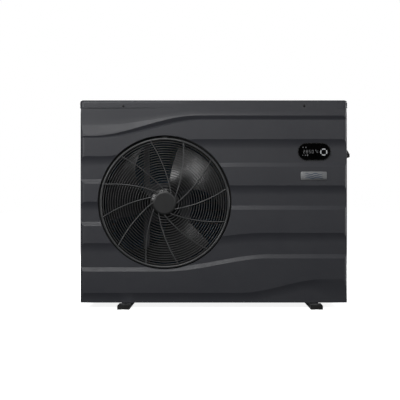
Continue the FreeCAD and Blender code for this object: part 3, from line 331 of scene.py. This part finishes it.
def guard_steel():
    """Dipped wire, with painted light: the spokes in front get a lighter colour and more specular as a
    painted highlight, the rings behind them a darker colour and less specular as painted shade.
    """
    recipe = Recipe("guard_steel").set(Specular_IOR_Level=0.5)
    split = recipe.tree.nodes.new("ShaderNodeSeparateXYZ")
    recipe.link(recipe.place, split.inputs[0])
    spoke_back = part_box("fan_guard")[0].y + 0.0040
    change = 0.0008
    # Painted highlight and shade by depth: lighter spokes in front of this depth, darker rings behind it.
    front = recipe.spread(split.outputs["Y"], 0.75, 0.0, spoke_back, spoke_back + change)
    speckle = recipe.spread(recipe.noise(40, 4), 0.0, 0.25)
    painted_sheen_and_speckle = recipe.tree.nodes.new("ShaderNodeMath")
    recipe.link(front, painted_sheen_and_speckle.inputs[0])
    recipe.link(speckle, painted_sheen_and_speckle.inputs[1])
    recipe.colour(recipe.tint(painted_sheen_and_speckle.outputs[0], shade(0.0035), shade(0.040, 0.98, 1.0, 1.02), 0.0, 1.0))
    gloss = recipe.spread(front, 0.12, 0.60, 0.0, 0.75)
    recipe.link(gloss, recipe.shader.inputs["Specular IOR Level"])
    recipe.roughness(recipe.spread(recipe.noise(220, 3), 0.30, 0.42))
    recipe.bump(recipe.noise(900, 2), 0.00003)
    return recipe.material


def hub_paint():
    recipe = Recipe("hub_paint").set(Specular_IOR_Level=0.4)
    recipe.colour(recipe.tint(recipe.noise(50, 4), shade(0.0145), shade(0.019, 0.98, 1.0, 1.03)))
    recipe.roughness(recipe.spread(recipe.noise(180, 3), 0.36, 0.46))
    recipe.bump(recipe.noise(1000, 2), 0.00003)
    return recipe.material


def galvanised_steel():
    recipe = Recipe("galvanised_steel").set(Metallic=1.0)
    flakes = recipe.cells(90)
    recipe.colour(recipe.tint(flakes, shade(0.16, 0.98, 1.0, 1.02), shade(0.26, 0.98, 1.0, 1.03), 0.2, 0.9))
    recipe.roughness(recipe.spread(flakes, 0.34, 0.52, 0.1, 0.9))
    recipe.bump(recipe.noise(300, 3), 0.00003)
    return recipe.material


def black_plastic():
    recipe = Recipe("black_plastic").set(Specular_IOR_Level=0.4)
    recipe.colour(recipe.tint(recipe.noise(25, 4), shade(0.006), shade(0.010, 1.0, 1.0, 1.03)))
    recipe.roughness(recipe.spread(recipe.noise(90, 3), 0.46, 0.60))
    recipe.bump(recipe.noise(1800, 2), 0.00004)
    return recipe.material


def fan_plastic_painted_shade():
    """Darker and glossier than the other black mouldings; the darker colour is painted shade for the fan
    deep in its opening.
    """
    recipe = Recipe("fan_plastic_painted_shade").set(Specular_IOR_Level=0.55, Coat_Weight=0.4, Coat_Roughness=0.26)
    recipe.colour(recipe.tint(recipe.noise(18, 4), shade(0.0025), shade(0.0045, 1.0, 1.0, 1.03)))
    recipe.roughness(recipe.spread(recipe.noise(70, 3), 0.28, 0.40))
    recipe.bump(recipe.noise(1500, 2), 0.00003)
    return recipe.material


def grey_plastic():
    recipe = Recipe("grey_plastic").set(Specular_IOR_Level=0.5)
    recipe.colour(recipe.tint(recipe.noise(30, 4), shade(0.085), shade(0.105, 1.0, 1.0, 1.03)))
    recipe.roughness(recipe.spread(recipe.noise(120, 3), 0.32, 0.46))
    recipe.bump(recipe.noise(1500, 2), 0.00004)
    return recipe.material


def rubber():
    recipe = Recipe("rubber").set(Specular_IOR_Level=0.3)
    recipe.colour(recipe.tint(recipe.noise(60, 5), shade(0.009), shade(0.018)))
    recipe.roughness(recipe.spread(recipe.noise(200, 3), 0.62, 0.82))
    recipe.bump(recipe.noise(1200, 3), 0.00012)
    return recipe.material


def display_gloss():
    recipe = Recipe("display_gloss").set(Specular_IOR_Level=0.1)
    recipe.colour(recipe.tint(recipe.noise(30, 2), shade(0.0004), shade(0.0007)))
    recipe.roughness(recipe.spread(recipe.noise(35, 4), 0.12, 0.20))
    return recipe.material


def display_frame():
    recipe = Recipe("display_frame").set(Specular_IOR_Level=0.45)
    recipe.colour(recipe.tint(recipe.noise(60, 3), shade(0.004), shade(0.007)))
    recipe.roughness(recipe.spread(recipe.noise(300, 3), 0.22, 0.34))
    recipe.bump(recipe.noise(2500, 2), 0.00002)
    return recipe.material


def lit_symbols(name, strength):
    """Dim white symbols on the display's window."""
    recipe = Recipe(name).set(Roughness=0.4, Specular_IOR_Level=0.1, Emission_Strength=strength)
    recipe.colour(recipe.tint(recipe.noise(160, 2), shade(0.010), shade(0.016)))
    glow = recipe.tint(recipe.noise(160, 2), (0.80, 0.84, 0.88), (1.0, 1.0, 1.0))
    recipe.link(glow, recipe.shader.inputs["Emission Color"])
    return recipe.material


def display_digits():
    return lit_symbols("display_digits", 0.15)


def display_ring():
    return lit_symbols("display_ring", 0.40)


def badge_metal():
    recipe = Recipe("badge_metal").set(Metallic=1.0)
    brushing = recipe.noise(900, 2, recipe.stretched(0.04, 1, 1))
    recipe.colour(recipe.tint(brushing, shade(0.18, 0.98, 1.0, 1.02), shade(0.26, 0.98, 1.0, 1.03)))
    recipe.roughness(recipe.spread(brushing, 0.38, 0.54))
    recipe.bump(brushing, 0.00002)
    return recipe.material


def badge_line():
    recipe = Recipe("badge_line").set(Specular_IOR_Level=0.5)
    recipe.colour(recipe.tint(recipe.noise(400, 2), (0.010, 0.030, 0.060), (0.016, 0.045, 0.085)))
    recipe.roughness(recipe.spread(recipe.noise(700, 2), 0.30, 0.42))
    return recipe.material


def blue_fins():
    recipe = Recipe("blue_fins").set(Metallic=0.55, Specular_IOR_Level=0.5)
    recipe.colour(recipe.tint(recipe.noise(18, 4), (0.012, 0.062, 0.140), (0.022, 0.095, 0.200)))
    recipe.roughness(recipe.spread(recipe.noise(90, 3), 0.30, 0.46))
    recipe.bump(recipe.waves(120, "Z"), 0.0001)
    return recipe.material


def copper():
    recipe = Recipe("copper").set(Metallic=1.0)
    recipe.colour(recipe.tint(recipe.noise(45, 5), (0.42, 0.19, 0.10), (0.72, 0.36, 0.21)))
    recipe.roughness(recipe.spread(recipe.noise(110, 4), 0.24, 0.46))
    recipe.bump(recipe.noise(400, 2), 0.00003)
    return recipe.material


def brass():
    recipe = Recipe("brass").set(Metallic=1.0)
    recipe.colour(recipe.tint(recipe.noise(50, 4), (0.52, 0.37, 0.13), (0.70, 0.54, 0.24)))
    recipe.roughness(recipe.spread(recipe.noise(160, 3), 0.24, 0.38))
    recipe.bump(recipe.noise(900, 2), 0.00002)
    return recipe.material


def titanium():
    recipe = Recipe("titanium").set(Metallic=1.0)
    recipe.colour(recipe.tint(recipe.noise(30, 4), (0.34, 0.32, 0.30), (0.46, 0.43, 0.40)))
    recipe.roughness(recipe.spread(recipe.noise(130, 3), 0.30, 0.42))
    recipe.bump(recipe.waves(300, "Z"), 0.00005)
    return recipe.material


def black_enamel():
    recipe = Recipe("black_enamel").set(Specular_IOR_Level=0.5, Coat_Weight=0.2, Coat_Roughness=0.2)
    recipe.colour(recipe.tint(recipe.noise(22, 4), shade(0.012), shade(0.020)))
    recipe.roughness(recipe.spread(recipe.noise(80, 3), 0.30, 0.44))
    recipe.bump(recipe.noise(350, 3), 0.00006)
    return recipe.material


def motor_aluminium():
    recipe = Recipe("motor_aluminium").set(Metallic=1.0)
    recipe.colour(recipe.tint(recipe.noise(60, 5), shade(0.40), shade(0.56, 0.98, 1.0, 1.02)))
    recipe.roughness(recipe.spread(recipe.noise(240, 4), 0.42, 0.58))
    recipe.bump(recipe.noise(700, 4), 0.00010)
    return recipe.material


def bright_steel():
    recipe = Recipe("bright_steel").set(Metallic=1.0)
    recipe.colour(recipe.tint(recipe.noise(90, 4), shade(0.46), shade(0.62, 1.0, 1.0, 1.02)))
    recipe.roughness(recipe.spread(recipe.noise(300, 3), 0.22, 0.34))
    recipe.bump(recipe.noise(1100, 2), 0.00002)
    return recipe.material


def motor_core():
    recipe = Recipe("motor_core").set(Metallic=0.8)
    sheets = recipe.waves(320, "Y")
    recipe.colour(recipe.tint(sheets, shade(0.06, 1.0, 0.95, 0.9), shade(0.16, 1.0, 0.97, 0.93)))
    recipe.roughness(recipe.spread(recipe.noise(200, 3), 0.42, 0.58))
    recipe.bump(sheets, 0.0001)
    return recipe.material


def circuit_board():
    recipe = Recipe("circuit_board").set(Specular_IOR_Level=0.5)
    tracks = recipe.cells(160, "Distance")
    recipe.colour(recipe.tint(tracks, (0.010, 0.060, 0.030), (0.022, 0.110, 0.055), 0.2, 0.5))
    recipe.roughness(recipe.spread(recipe.noise(150, 2), 0.26, 0.40))
    recipe.bump(tracks, 0.00006)
    return recipe.material


def black_screws():
    recipe = Recipe("black_screws").set(Metallic=0.6)
    recipe.colour(recipe.tint(recipe.noise(500, 3), shade(0.010), shade(0.024)))
    recipe.roughness(recipe.spread(recipe.noise(900, 3), 0.30, 0.44))
    recipe.bump(recipe.noise(2200, 2), 0.00002)
    return recipe.material


FINISHES = {make.__name__: make() for make in (
    case_plastic, case_steel, guard_steel, galvanised_steel, black_plastic, grey_plastic, rubber,
    display_gloss, display_frame, badge_metal, blue_fins, copper, brass, titanium, black_enamel,
    motor_aluminium, bright_steel, motor_core, circuit_board, black_screws, hub_paint, fan_plastic_painted_shade,
    display_digits, display_ring, badge_line)}


def finish_with(thing, name):
    thing.data.materials.clear()
    thing.data.materials.append(FINISHES[name])


def finish_frame():
    """Gives each CAD node the finish of its material slot, and two of them one of their own."""
    for entry in frame["record"]["subparts"]:
        finish_with(NODES[entry["node"]], entry["material_slot"])
    # The fan's own finish is darker, as painted shade.
    finish_with(NODES["fan"], "fan_plastic_painted_shade")
    finish_with(NODES["guard_hub_plate"], "hub_paint")


def add_piece(thing, finish, body="case", stands_for=()):
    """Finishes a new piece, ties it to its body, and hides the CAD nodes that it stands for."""
    finish_with(thing, finish)
    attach(thing, body)
    if stands_for:
        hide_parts(*stands_for)


# ---------------------------------------------------------------- front panel

def cove_depth(drop, reach):
    """How far the face has fallen back at a drop below a crease."""
    steepness = 2.4
    return RELIEF * (1 - (1 - min(drop / reach, 1.0)) ** steepness)


def relief_column(across):
    """The face from the bottom to the top at one place across the case: (height, depth) pairs."""
    top = PANEL_HIGH.z
    column = []

    def run(low, high, steps, depth_at):
        for step in range(steps):
            height = low + (high - low) * step / steps
            column.append((height, depth_at(height)))

    def flat(low, high, depth):
        margin = min(0.001, (high - low) / 4)
        for height in (low, low + margin, (low + high) / 2, high - margin):
            column.append((height, depth))

    def recess_and_band(floor, crease, edge):
        """From a recess's floor up its cove, over the band above it and down that band's ramp."""
        line = wave_height(crease, across)
        reach = COVE
        if crease == "crease_four":
            # The lowest cove grows longer towards the right corner.
            start = 0.30
            width = 0.09
            reach += 0.045 * ease((across - start) / width)
        cove_start = max(floor + 0.0005, line - reach)
        flat(floor, cove_start, RELIEF)
        run(cove_start, line, 10, lambda height: cove_depth(line - height, reach))
        if edge == "edge_one":
            flat(line, wave_height(edge, across), 0.0)
            return line
        low = wave_height(edge, across) - RAMP_BELOW
        high = wave_height(edge, across) + RAMP_ABOVE
        flat(line, low, 0.0)
        run(low, high, 8, lambda height: RELIEF * slide((height - low) / (high - low)))
        return high

    floor = PANEL_LOW.z
    for crease, edge in (("crease_four", "edge_four"), ("crease_three", "edge_three"),
                         ("crease_two", "edge_two"), ("crease_one", "edge_one")):
        floor = recess_and_band(floor, crease, edge)

    edge = wave_height("edge_one", across)
    crest = wave_height("swell", across)
    # At the right corner the swell climbs a little further, and the face above it lies deeper.
    start = 0.376
    width = 0.04
    climb = ease((across - start) / width)
    swell_top = wave_height("swell_top", across) + 0.008 * climb
    rest = wave_height("top_depth", across) + 0.0012 * climb
    # The groove between the first edge and the crest: its depth, and where it is deepest.
    groove = 0.30 * (crest - edge)
    turn = edge + 0.25 * (crest - edge)
    run(edge, turn, 4, lambda height: groove * slide((height - edge) / (turn - edge)))
    run(turn, crest, 8, lambda height: groove * (1 - slide((height - turn) / (crest - turn))))
    run(crest, swell_top, 10, lambda height: rest * slide((height - crest) / (swell_top - crest)))
    run(swell_top, top, 4, lambda height: rest)
    column.append((top, rest))
    return column


def face_depth(x, z):
    """Depth of the relief at a place on the front."""
    column = relief_column(x - MIDDLE)
    for (low, first), (high, second) in zip(column, column[1:]):
        if low <= z <= high and high > low:
            return first + (second - first) * (z - low) / (high - low)
    return column[-1][1]


def front_panel():
    """The wave-banded moulding: a fine grid whose rows follow the bands, turned in at both sides."""
    flat_columns = 170
    arc_columns = 7
    columns = []
    for index in range(flat_columns + 1):
        share = 2 * index / flat_columns - 1
        middle = share * (HALF_WIDTH - CORNER / 2)
        column = []
        for height, depth in relief_column(middle):
            edge = HALF_WIDTH - CORNER + math.sqrt(CORNER ** 2 - (CORNER - depth) ** 2)
            column.append((MIDDLE + share * edge, FRONT + depth, height))
        columns.append(column)
    for side, outermost in ((1, columns[-1]), (-1, columns[0])):
        turned_in = []
        for index in range(1, arc_columns + 1):
            column = []
            for x, y, height in outermost:
                start = math.asin((abs(x - MIDDLE) - HALF_WIDTH + CORNER) / CORNER)
                angle = start + (math.pi / 2 - start) * index / arc_columns
                column.append((MIDDLE + side * (HALF_WIDTH - CORNER + CORNER * math.sin(angle)),
                               FRONT + CORNER - CORNER * math.cos(angle), height))
            turned_in.append(column)
        back = PANEL_HIGH.y
        turned_in.append([(MIDDLE + side * HALF_WIDTH, back, height) for x, y, height in outermost])
        columns = columns + turned_in if side > 0 else turned_in[::-1] + columns
    rows = len(columns[0])
    panel = new_object("front_panel_moulding", [spot for column in columns for spot in column],
                       grid_faces(len(columns), rows), sharp_angle=15)
    shell = panel.modifiers.new("shell", "SOLIDIFY")
    shell.thickness = WALL
    shell.offset = -1
    apply_modifiers(panel)
    before = FRONT - 0.02
    behind = FRONT + 0.04
    under_lip = 0.0008
    cut_away(panel, opening_disc(OPENING_RADIUS + under_lip, before, behind))
    low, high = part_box("display_bezel")
    gap = 0.0006
    outline = stadium_outline((low.x + high.x) / 2, (low.z + high.z) / 2,
                              high.x - low.x + gap, high.z - low.z + gap)
    cut_away(panel, prism("window", outline, before, behind))
    under_lid(panel)
    smooth(panel, 15)
    add_piece(panel, "case_plastic", stands_for=["front_panel"])
    opening_lip()


def opening_disc(radius, front, back):
    """A solid disc that cuts the fan opening."""
    steps = 180
    outline = [(FAN_X + radius * math.cos(2 * math.pi * step / steps),
                OPENING_Z + radius * math.sin(2 * math.pi * step / steps)) for step in range(steps)]
    return prism("disc", outline, front, back)


def under_lid(panel):
    """Draws the panel's top in a little where the lid laps over it."""
    inset = 0.0018
    overlap = 0.0005
    limit = HALF_WIDTH - inset
    for vertex in panel.data.vertices:
        if vertex.co.z > LID_LOW.z - overlap:
            offset = vertex.co.x - MIDDLE
            if abs(offset) > limit:
                vertex.co.x = MIDDLE + math.copysign(limit, offset)


def opening_lip():
    """A small rounded lip round the fan opening, which follows the relief."""
    steps = 360
    outermost = 0.0014
    # Outward from the opening's edge, inward from the face, and whether that place follows the relief.
    profile = [(outermost, 0.0, True), (0.0011, -0.00008, True), (0.0006, 0.00006, True),
               (0.0002, 0.0004, True), (0.0, 0.0010, True), (0.0, 0.0120, False)]
    vertices = []
    for step in range(steps):
        angle = 2 * math.pi * step / steps
        ring = OPENING_RADIUS + outermost
        surface = FRONT + face_depth(FAN_X + ring * math.cos(angle), OPENING_Z + ring * math.sin(angle))
        for outward, inward, follows in profile:
            radius = OPENING_RADIUS + outward
            depth = surface + inward if follows else FRONT + inward
            vertices.append((FAN_X + radius * math.cos(angle), depth,
                             OPENING_Z + radius * math.sin(angle)))
    lip = new_object("fan_opening_lip", vertices, grid_faces(steps, len(profile), True), sharp_angle=40)
    add_piece(lip, "case_plastic")


# ---------------------------------------------------------------- evaporator

def coil_path(step):
    """Places along the middle of the L-shaped coil, with the direction of travel at each."""
    low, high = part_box("evaporator_fins")
    thickness = 0.044
    bend = 0.058
    x_left = low.x + thickness / 2
    y_back = high.y - thickness / 2
    spots = []
    y = low.y + 2 * step
    while y < y_back - bend:
        spots.append((Vector((x_left, y, 0)), Vector((0, 1, 0))))
        y += step
    turns = int(bend * math.pi / 2 / step)
    for index in range(turns + 1):
        angle = math.pi / 2 * index / turns
        place = (x_left + bend - bend * math.cos(angle), y_back - bend + bend * math.sin(angle), 0)
        spots.append((Vector(place), Vector((math.sin(angle), math.cos(angle), 0))))
    x = x_left + bend + step
    while x < high.x - step:
        spots.append((Vector((x, y_back, 0)), Vector((1, 0, 0))))
        x += step
    return spots, low.z, high.z, thickness


def evaporator():
    """Thin blue corrugated fins, with the tubes that run through them."""
    pitch = 0.0026
    half_fin = 0.00018
    fold = 0.0016
    folds = ((-1.0, -1), (-0.5, 1), (0.0, -1), (0.5, 1), (1.0, -1))
    spots, bottom, top, thickness = coil_path(pitch)
    vertices = []
    faces = []
    for place, along in spots:
        across = Vector((along.y, -along.x, 0)) * (thickness / 2)
        start = len(vertices)
        for height in (bottom, top):
            for side in (-half_fin, half_fin):
                for reach, bend in folds:
                    vertices.append(place + across * reach + along * (fold * bend + side)
                                    + Vector((0, 0, height)))
        count = len(folds)
        for index in range(count - 1):
            first = start + index
            faces += [(first, first + 1, first + 2 * count + 1, first + 2 * count),
                      (first + count, first + 3 * count, first + 3 * count + 1, first + count + 1),
                      (first, first + count, first + count + 1, first + 1),
                      (first + 2 * count, first + 2 * count + 1, first + 3 * count + 1, first + 3 * count)]
        for end in (start, start + count - 1):
            faces.append((end, end + 2 * count, end + 3 * count, end + count))
    fins = new_object("evaporator_fin_pack", vertices, faces, is_smooth=False)
    add_piece(fins, "blue_fins", stands_for=["evaporator_fins"])
    evaporator_tubes(spots, bottom, top)


def evaporator_tubes(spots, bottom, top):
    """Two rows of level tubes along the coil."""
    tube = 0.0047
    sides = 10
    row_offset = 0.011
    first_tube = 0.0155
    tube_pitch = 0.025
    most_tubes = 24
    rings = spots[::6] + [spots[-1]]
    vertices = []
    faces = []
    for row in (-row_offset, row_offset):
        for index in range(most_tubes):
            height = bottom + first_tube + tube_pitch * index
            if height > top - 0.01:
                continue
            start = len(vertices)
            for place, along in rings:
                across = Vector((along.y, -along.x, 0))
                for side in range(sides):
                    angle = 2 * math.pi * side / sides
                    vertices.append(place + across * (row + tube * math.cos(angle))
                                    + Vector((0, 0, height + tube * math.sin(angle))))
            faces += tube_faces(start, len(rings), sides)
    tubes = new_object("evaporator_tubes", vertices, faces)
    add_piece(tubes, "copper")


# ---------------------------------------------------------------- display, badge and screws

def digit_strokes(number):
    """The strokes of one seven-segment digit, as (x, z, is_upright) on a unit cell 1 wide and 2 high."""
    places = {"a": (0.5, 2.0, False), "b": (1.0, 1.5, True), "c": (1.0, 0.5, True), "d": (0.5, 0.0, False),
              "e": (0.0, 0.5, True), "f": (0.0, 1.5, True), "g": (0.5, 1.0, False)}
    lit = {"8": "abcdefg", "2": "abdeg", "5": "acdfg", "0": "abcdef"}[number]
    return [places[letter] for letter in lit]


def flat_bar(centre_x, centre_z, width, height, front, depth):
    outline = [(centre_x - width / 2, centre_z - height / 2), (centre_x + width / 2, centre_z - height / 2),
               (centre_x + width / 2, centre_z + height / 2), (centre_x - width / 2, centre_z + height / 2)]
    return prism("bar", outline, front, front + depth)


def flat_arc(centre_x, centre_z, inner, outer, start, end, front, depth, steps=14):
    outline = []
    for radius, order in ((outer, range(steps + 1)), (inner, reversed(range(steps + 1)))):
        for step in order:
            angle = math.radians(start + (end - start) * step / steps)
            outline.append((centre_x + radius * math.cos(angle), centre_z + radius * math.sin(angle)))
    return prism("arc", outline, front, front + depth)


def display_symbols():
    """Four digits, a degree sign and a letter, two rows of small marks, and a ring of four arcs."""
    low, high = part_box("display_lens")
    middle_x = (low.x + high.x) / 2
    middle_z = (low.z + high.z) / 2
    front = low.y - 0.00008
    depth = 0.0003
    pieces = []
    cell = 0.0046
    stroke = 0.0010
    stroke_length = cell * 0.84
    digit_pitch = 0.0092
    for index, number in enumerate("2850"):
        left = middle_x - 0.0350 + digit_pitch * index
        for x, z, is_upright in digit_strokes(number):
            wide, tall = (stroke, stroke_length) if is_upright else (stroke_length, stroke)
            pieces.append(flat_bar(left + x * cell, middle_z - 0.0048 + z * cell, wide, tall, front, depth))
    degree_x = middle_x + 0.0050
    pieces.append(flat_arc(degree_x, middle_z + 0.0042, 0.0009, 0.0018, 0, 359, front, depth))
    pieces.append(flat_arc(degree_x + 0.0056, middle_z - 0.0008, 0.0023, 0.0033, 45, 315, front, depth))
    # The small marks: right of the middle, above it, and size.
    for right, up, size in ((-0.036, 0.0135, 0.0030), (-0.0265, 0.0135, 0.0034),
                            (-0.037, -0.0118, 0.0024), (-0.0285, -0.0118, 0.0030),
                            (-0.0215, -0.0118, 0.0042)):
        x = middle_x + right
        z = middle_z + up
        pieces.append(flat_arc(x, z, size * 0.28, size * 0.6, 30, 330, front, depth, 8))
        pieces.append(flat_bar(x, z - size * 0.1, size * 0.3, size * 0.9, front, depth))
    add_piece(join("display_symbols", pieces), "display_digits")
    dial_x = middle_x + 0.0305
    dial_z = middle_z - 0.0015
    arcs = [flat_arc(dial_x, dial_z, 0.0080, 0.0115, turn - 34, turn + 34, front, depth)
            for turn in (0, 90, 180, 270)]
    add_piece(join("display_dial", arcs), "display_ring")


def badge():
    """A plain satin plate with rounded corners, and its wave lines."""
    low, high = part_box("badge")
    radius = 0.004
    outline = []
    for x, z, start in ((high.x - radius, high.z - radius, 0), (low.x + radius, high.z - radius, 90),
                        (low.x + radius, low.z + radius, 180), (high.x - radius, low.z + radius, 270)):
        for step in range(7):
            angle = math.radians(start + 15 * step)
            outline.append((x + radius * math.cos(angle), z + radius * math.sin(angle)))
    plate = prism("badge_plate", outline, low.y + 0.0004, high.y + 0.0065)
    bevel = plate.modifiers.new("edge", "BEVEL")
    bevel.width = 0.0004
    bevel.segments = 2
    bevel.limit_method = "ANGLE"
    bevel.angle_limit = math.radians(60)
    apply_modifiers(plate)
    smooth(plate)
    add_piece(plate, "badge_metal", stands_for=["badge"])
    badge_waves(low, high)


def badge_waves(low, high):
    """Three wave lines, thickest in the middle, on the front of the plate."""
    steps = 48
    margin = 0.012
    line_pitch = 0.0062
    swing = 0.0022
    thickest = 0.0012
    vertices = []
    faces = []
    middle_z = (low.z + high.z) / 2
    for line in (-1, 0, 1):
        start = len(vertices)
        for step in range(steps + 1):
            share = step / steps
            x = low.x + margin + (high.x - low.x - 2 * margin) * share
            z = middle_z + line_pitch * line + swing * math.sin(2 * math.pi * (2 * share + 0.08 * line))
            half = thickest * math.sin(math.pi * share) ** 0.5
            for side, depth in ((-1, 0.0002), (1, 0.0002), (1, 0.0006), (-1, 0.0006)):
                vertices.append((x, low.y + depth, z + side * half))
        faces += tube_faces(start, steps + 1, 4)
    lines = new_object("badge_waves", vertices, faces)
    add_piece(lines, "badge_line")


def loose_parts(mesh):
    """The boxes of a mesh's separate pieces."""
    built = bmesh.new()
    built.from_mesh(mesh)
    bmesh.ops.remove_doubles(built, verts=built.verts, dist=1e-6)
    seen = set()
    boxes = []
    for start in built.verts:
        if start in seen:
            continue
        members = []
        waiting = [start]
        seen.add(start)
        while waiting:
            vertex = waiting.pop()
            members.append(vertex.co.copy())
            for edge in vertex.link_edges:
                other = edge.other_vert(vertex)
                if other not in seen:
                    seen.add(other)
                    waiting.append(other)
        low = Vector([min(spot[axis] for spot in members) for axis in range(3)])
        high = Vector([max(spot[axis] for spot in members) for axis in range(3)])
        boxes.append((low, high))
    built.free()
    return boxes


def pan_head(radius, height):
    """A domed screw head with a cross recess, its back on the plane z = 0."""
    steps = 28
    # From the middle to the rim: share of the radius, share of the height. The middle is one vertex.
    outline = [(0.35, 0.985), (0.66, 0.90), (0.88, 0.70), (0.98, 0.42), (1.0, 0.2), (1.0, 0.0)]
    vertices = []
    for step in range(steps):
        angle = 2 * math.pi * step / steps
        for share, rise in outline:
            reach = radius * share
            vertices.append((reach * math.cos(angle), reach * math.sin(angle), height * rise))
    rows = len(outline)
    faces = grid_faces(steps, rows, True)
    vertices.append((0, 0, height))
    top = len(vertices) - 1
    faces += [(top, step * rows, ((step + 1) % steps) * rows) for step in range(steps)]
    faces.append(tuple(step * rows + rows - 1 for step in reversed(range(steps))))
    head = new_object("head", vertices, faces)
    arm = radius * 0.55
    slot = radius * 0.13
    plus = [(-slot, -arm), (slot, -arm), (slot, -slot), (arm, -slot), (arm, slot), (slot, slot),
            (slot, arm), (-slot, arm), (-slot, slot), (-arm, slot), (-arm, -slot), (-slot, -slot)]
    vertices = [(x, y, z) for z in (height * 0.35, height * 1.5) for x, y in plus]
    cut_away(head, new_object("cross", vertices, prism_faces(len(plus)), is_smooth=False))
    return head


def case_screws():
    """A cross-head screw at each place where the CAD has one."""
    boxes = loose_parts(NODES["case_screws"].data)
    low, high = boxes[0]
    size = sorted(high - low)
    head = pan_head(size[2] / 2, size[0])
    centre = Vector((MIDDLE, (LID_LOW.y + LID_HIGH.y) / 2, 0))
    built = bmesh.new()
    for low, high in boxes:
        extent = high - low
        axis = min(range(3), key=lambda index: extent[index])
        middle = (low + high) / 2
        outward = Vector((0, 0, 0))
        outward[axis] = 1.0 if middle[axis] > centre[axis] else -1.0
        foot = middle - outward * extent[axis] / 2
        turn = outward.to_track_quat("Z", "Y").to_matrix().to_4x4()
        # Each screw stops at an angle of its own, which comes from its place.
        angle = 37 * (middle.x + 2 * middle.y + 3 * middle.z)
        spin = Matrix.Rotation(angle, 4, "Z")
        copy = head.data.copy()
        copy.transform(Matrix.Translation(foot) @ turn @ spin)
        built.from_mesh(copy)
        bpy.data.meshes.remove(copy)
    mesh = bpy.data.meshes.new("case_screw_heads")
    built.to_mesh(mesh)
    built.free()
    bpy.data.objects.remove(head)
    screws = scene_object("case_screw_heads", mesh)
    smooth(screws, 35)
    add_piece(screws, "black_screws", stands_for=["case_screws"])


# ---------------------------------------------------------------- studio and camera

def background(tree, colour, strength):
    node = tree.nodes.new("ShaderNodeBackground")
    node.inputs["Color"].default_value = colour
    node.inputs["Strength"].default_value = strength
    return node


def studio():
    """A pale floor, and a world that is white to look at but weak as light and weaker in reflections."""
    floor = scene_object("studio_floor", bpy.data.meshes.new("studio_floor"))
    built = bmesh.new()
    bmesh.ops.create_grid(built, x_segments=2, y_segments=2, size=30)
    built.to_mesh(floor.data)
    built.free()
    recipe = Recipe("studio_floor").set(Roughness=0.9, Specular_IOR_Level=0.1, Emission_Strength=0.88,
                                        Emission_Color=(1, 1, 1, 1))
    recipe.colour(recipe.tint(recipe.noise(1.5, 2), shade(0.90), shade(0.92)))
    floor.data.materials.append(recipe.material)
    floor.visible_diffuse = False
    floor.visible_glossy = False

    world = bpy.data.worlds.new("studio")
    bpy.context.scene.world = world
    world.use_nodes = True
    tree = world.node_tree
    tree.nodes.clear()
    output = tree.nodes.new("ShaderNodeOutputWorld")
    pale_blue = (0.94, 0.97, 1.0, 1)
    seen = background(tree, (1, 1, 1, 1), 1.0)
    lighting = background(tree, pale_blue, 0.18)
    reflected = background(tree, pale_blue, 0.03)
    path = tree.nodes.new("ShaderNodeLightPath")
    ambient = tree.nodes.new("ShaderNodeMixShader")
    tree.links.new(path.outputs["Is Glossy Ray"], ambient.inputs["Fac"])
    tree.links.new(lighting.outputs[0], ambient.inputs[1])
    tree.links.new(reflected.outputs[0], ambient.inputs[2])
    mix = tree.nodes.new("ShaderNodeMixShader")
    tree.links.new(path.outputs["Is Camera Ray"], mix.inputs["Fac"])
    tree.links.new(ambient.outputs[0], mix.inputs[1])
    tree.links.new(seen.outputs[0], mix.inputs[2])
    tree.links.new(mix.outputs[0], output.inputs["Surface"])


def softbox(name, place, target, width, height, power):
    """A rectangular light of so many watts that faces its target."""
    light = bpy.data.lights.new(name, "AREA")
    light.shape = "RECTANGLE"
    light.size = width
    light.size_y = height
    light.energy = power
    lamp = scene_object(name, light)
    lamp.location = place
    lamp.rotation_euler = (Vector(target) - Vector(place)).to_track_quat("-Z", "Y").to_euler()


def lights():
    softbox("above_viewer", (-0.35, -3.0, 1.35), (0.0, -0.1, 0.3), 0.9, 0.5, 8.0)
    softbox("key_upper_left", (-0.75, -2.2, 1.8), (0.0, -0.1, 0.3), 0.6, 0.5, 15.0)
    softbox("high_front", (-0.3, -1.6, 2.2), (0.0, -0.1, 0.3), 0.6, 0.5, 8.5)
    softbox("left_front", (-1.7, -1.7, 1.1), (-0.2, -0.1, 0.35), 0.5, 0.5, 17.0)
    softbox("right_front", (1.2, -2.8, 1.1), (0.0, -0.1, 0.3), 0.8, 0.6, 6.5)
    softbox("right_strip", (2.2, -0.30, 0.6), (0.3, -0.1, 0.35), 0.2, 1.4, 18.0)
    softbox("rear_left", (-1.5, 2.3, 1.5), (0.0, 0.2, 0.35), 1.1, 1.0, 60.0)
    softbox("rear_right", (1.6, 2.1, 1.3), (0.1, 0.2, 0.35), 1.1, 1.0, 60.0)


def camera():
    """Straight on to the front, level with the middle of the unit; the shifts set where it stands."""
    width_at_front = 1.2859
    distance = 3.0
    height = 0.3338
    sensor_width = 36
    data = bpy.data.cameras.new("camera")
    data.sensor_width = sensor_width
    data.lens = sensor_width * distance / width_at_front
    data.shift_x = -0.0344
    data.shift_y = 0.0115
    viewer = scene_object("camera", data)
    viewer.location = (MIDDLE, FRONT - distance, height)
    viewer.rotation_euler = (math.pi / 2, 0, 0)
    bpy.context.scene.camera = viewer
    bpy.context.scene.view_settings.view_transform = "Standard"


finish_frame()
front_panel()
evaporator()
display_symbols()
badge()
case_screws()
studio()
lights()
camera()
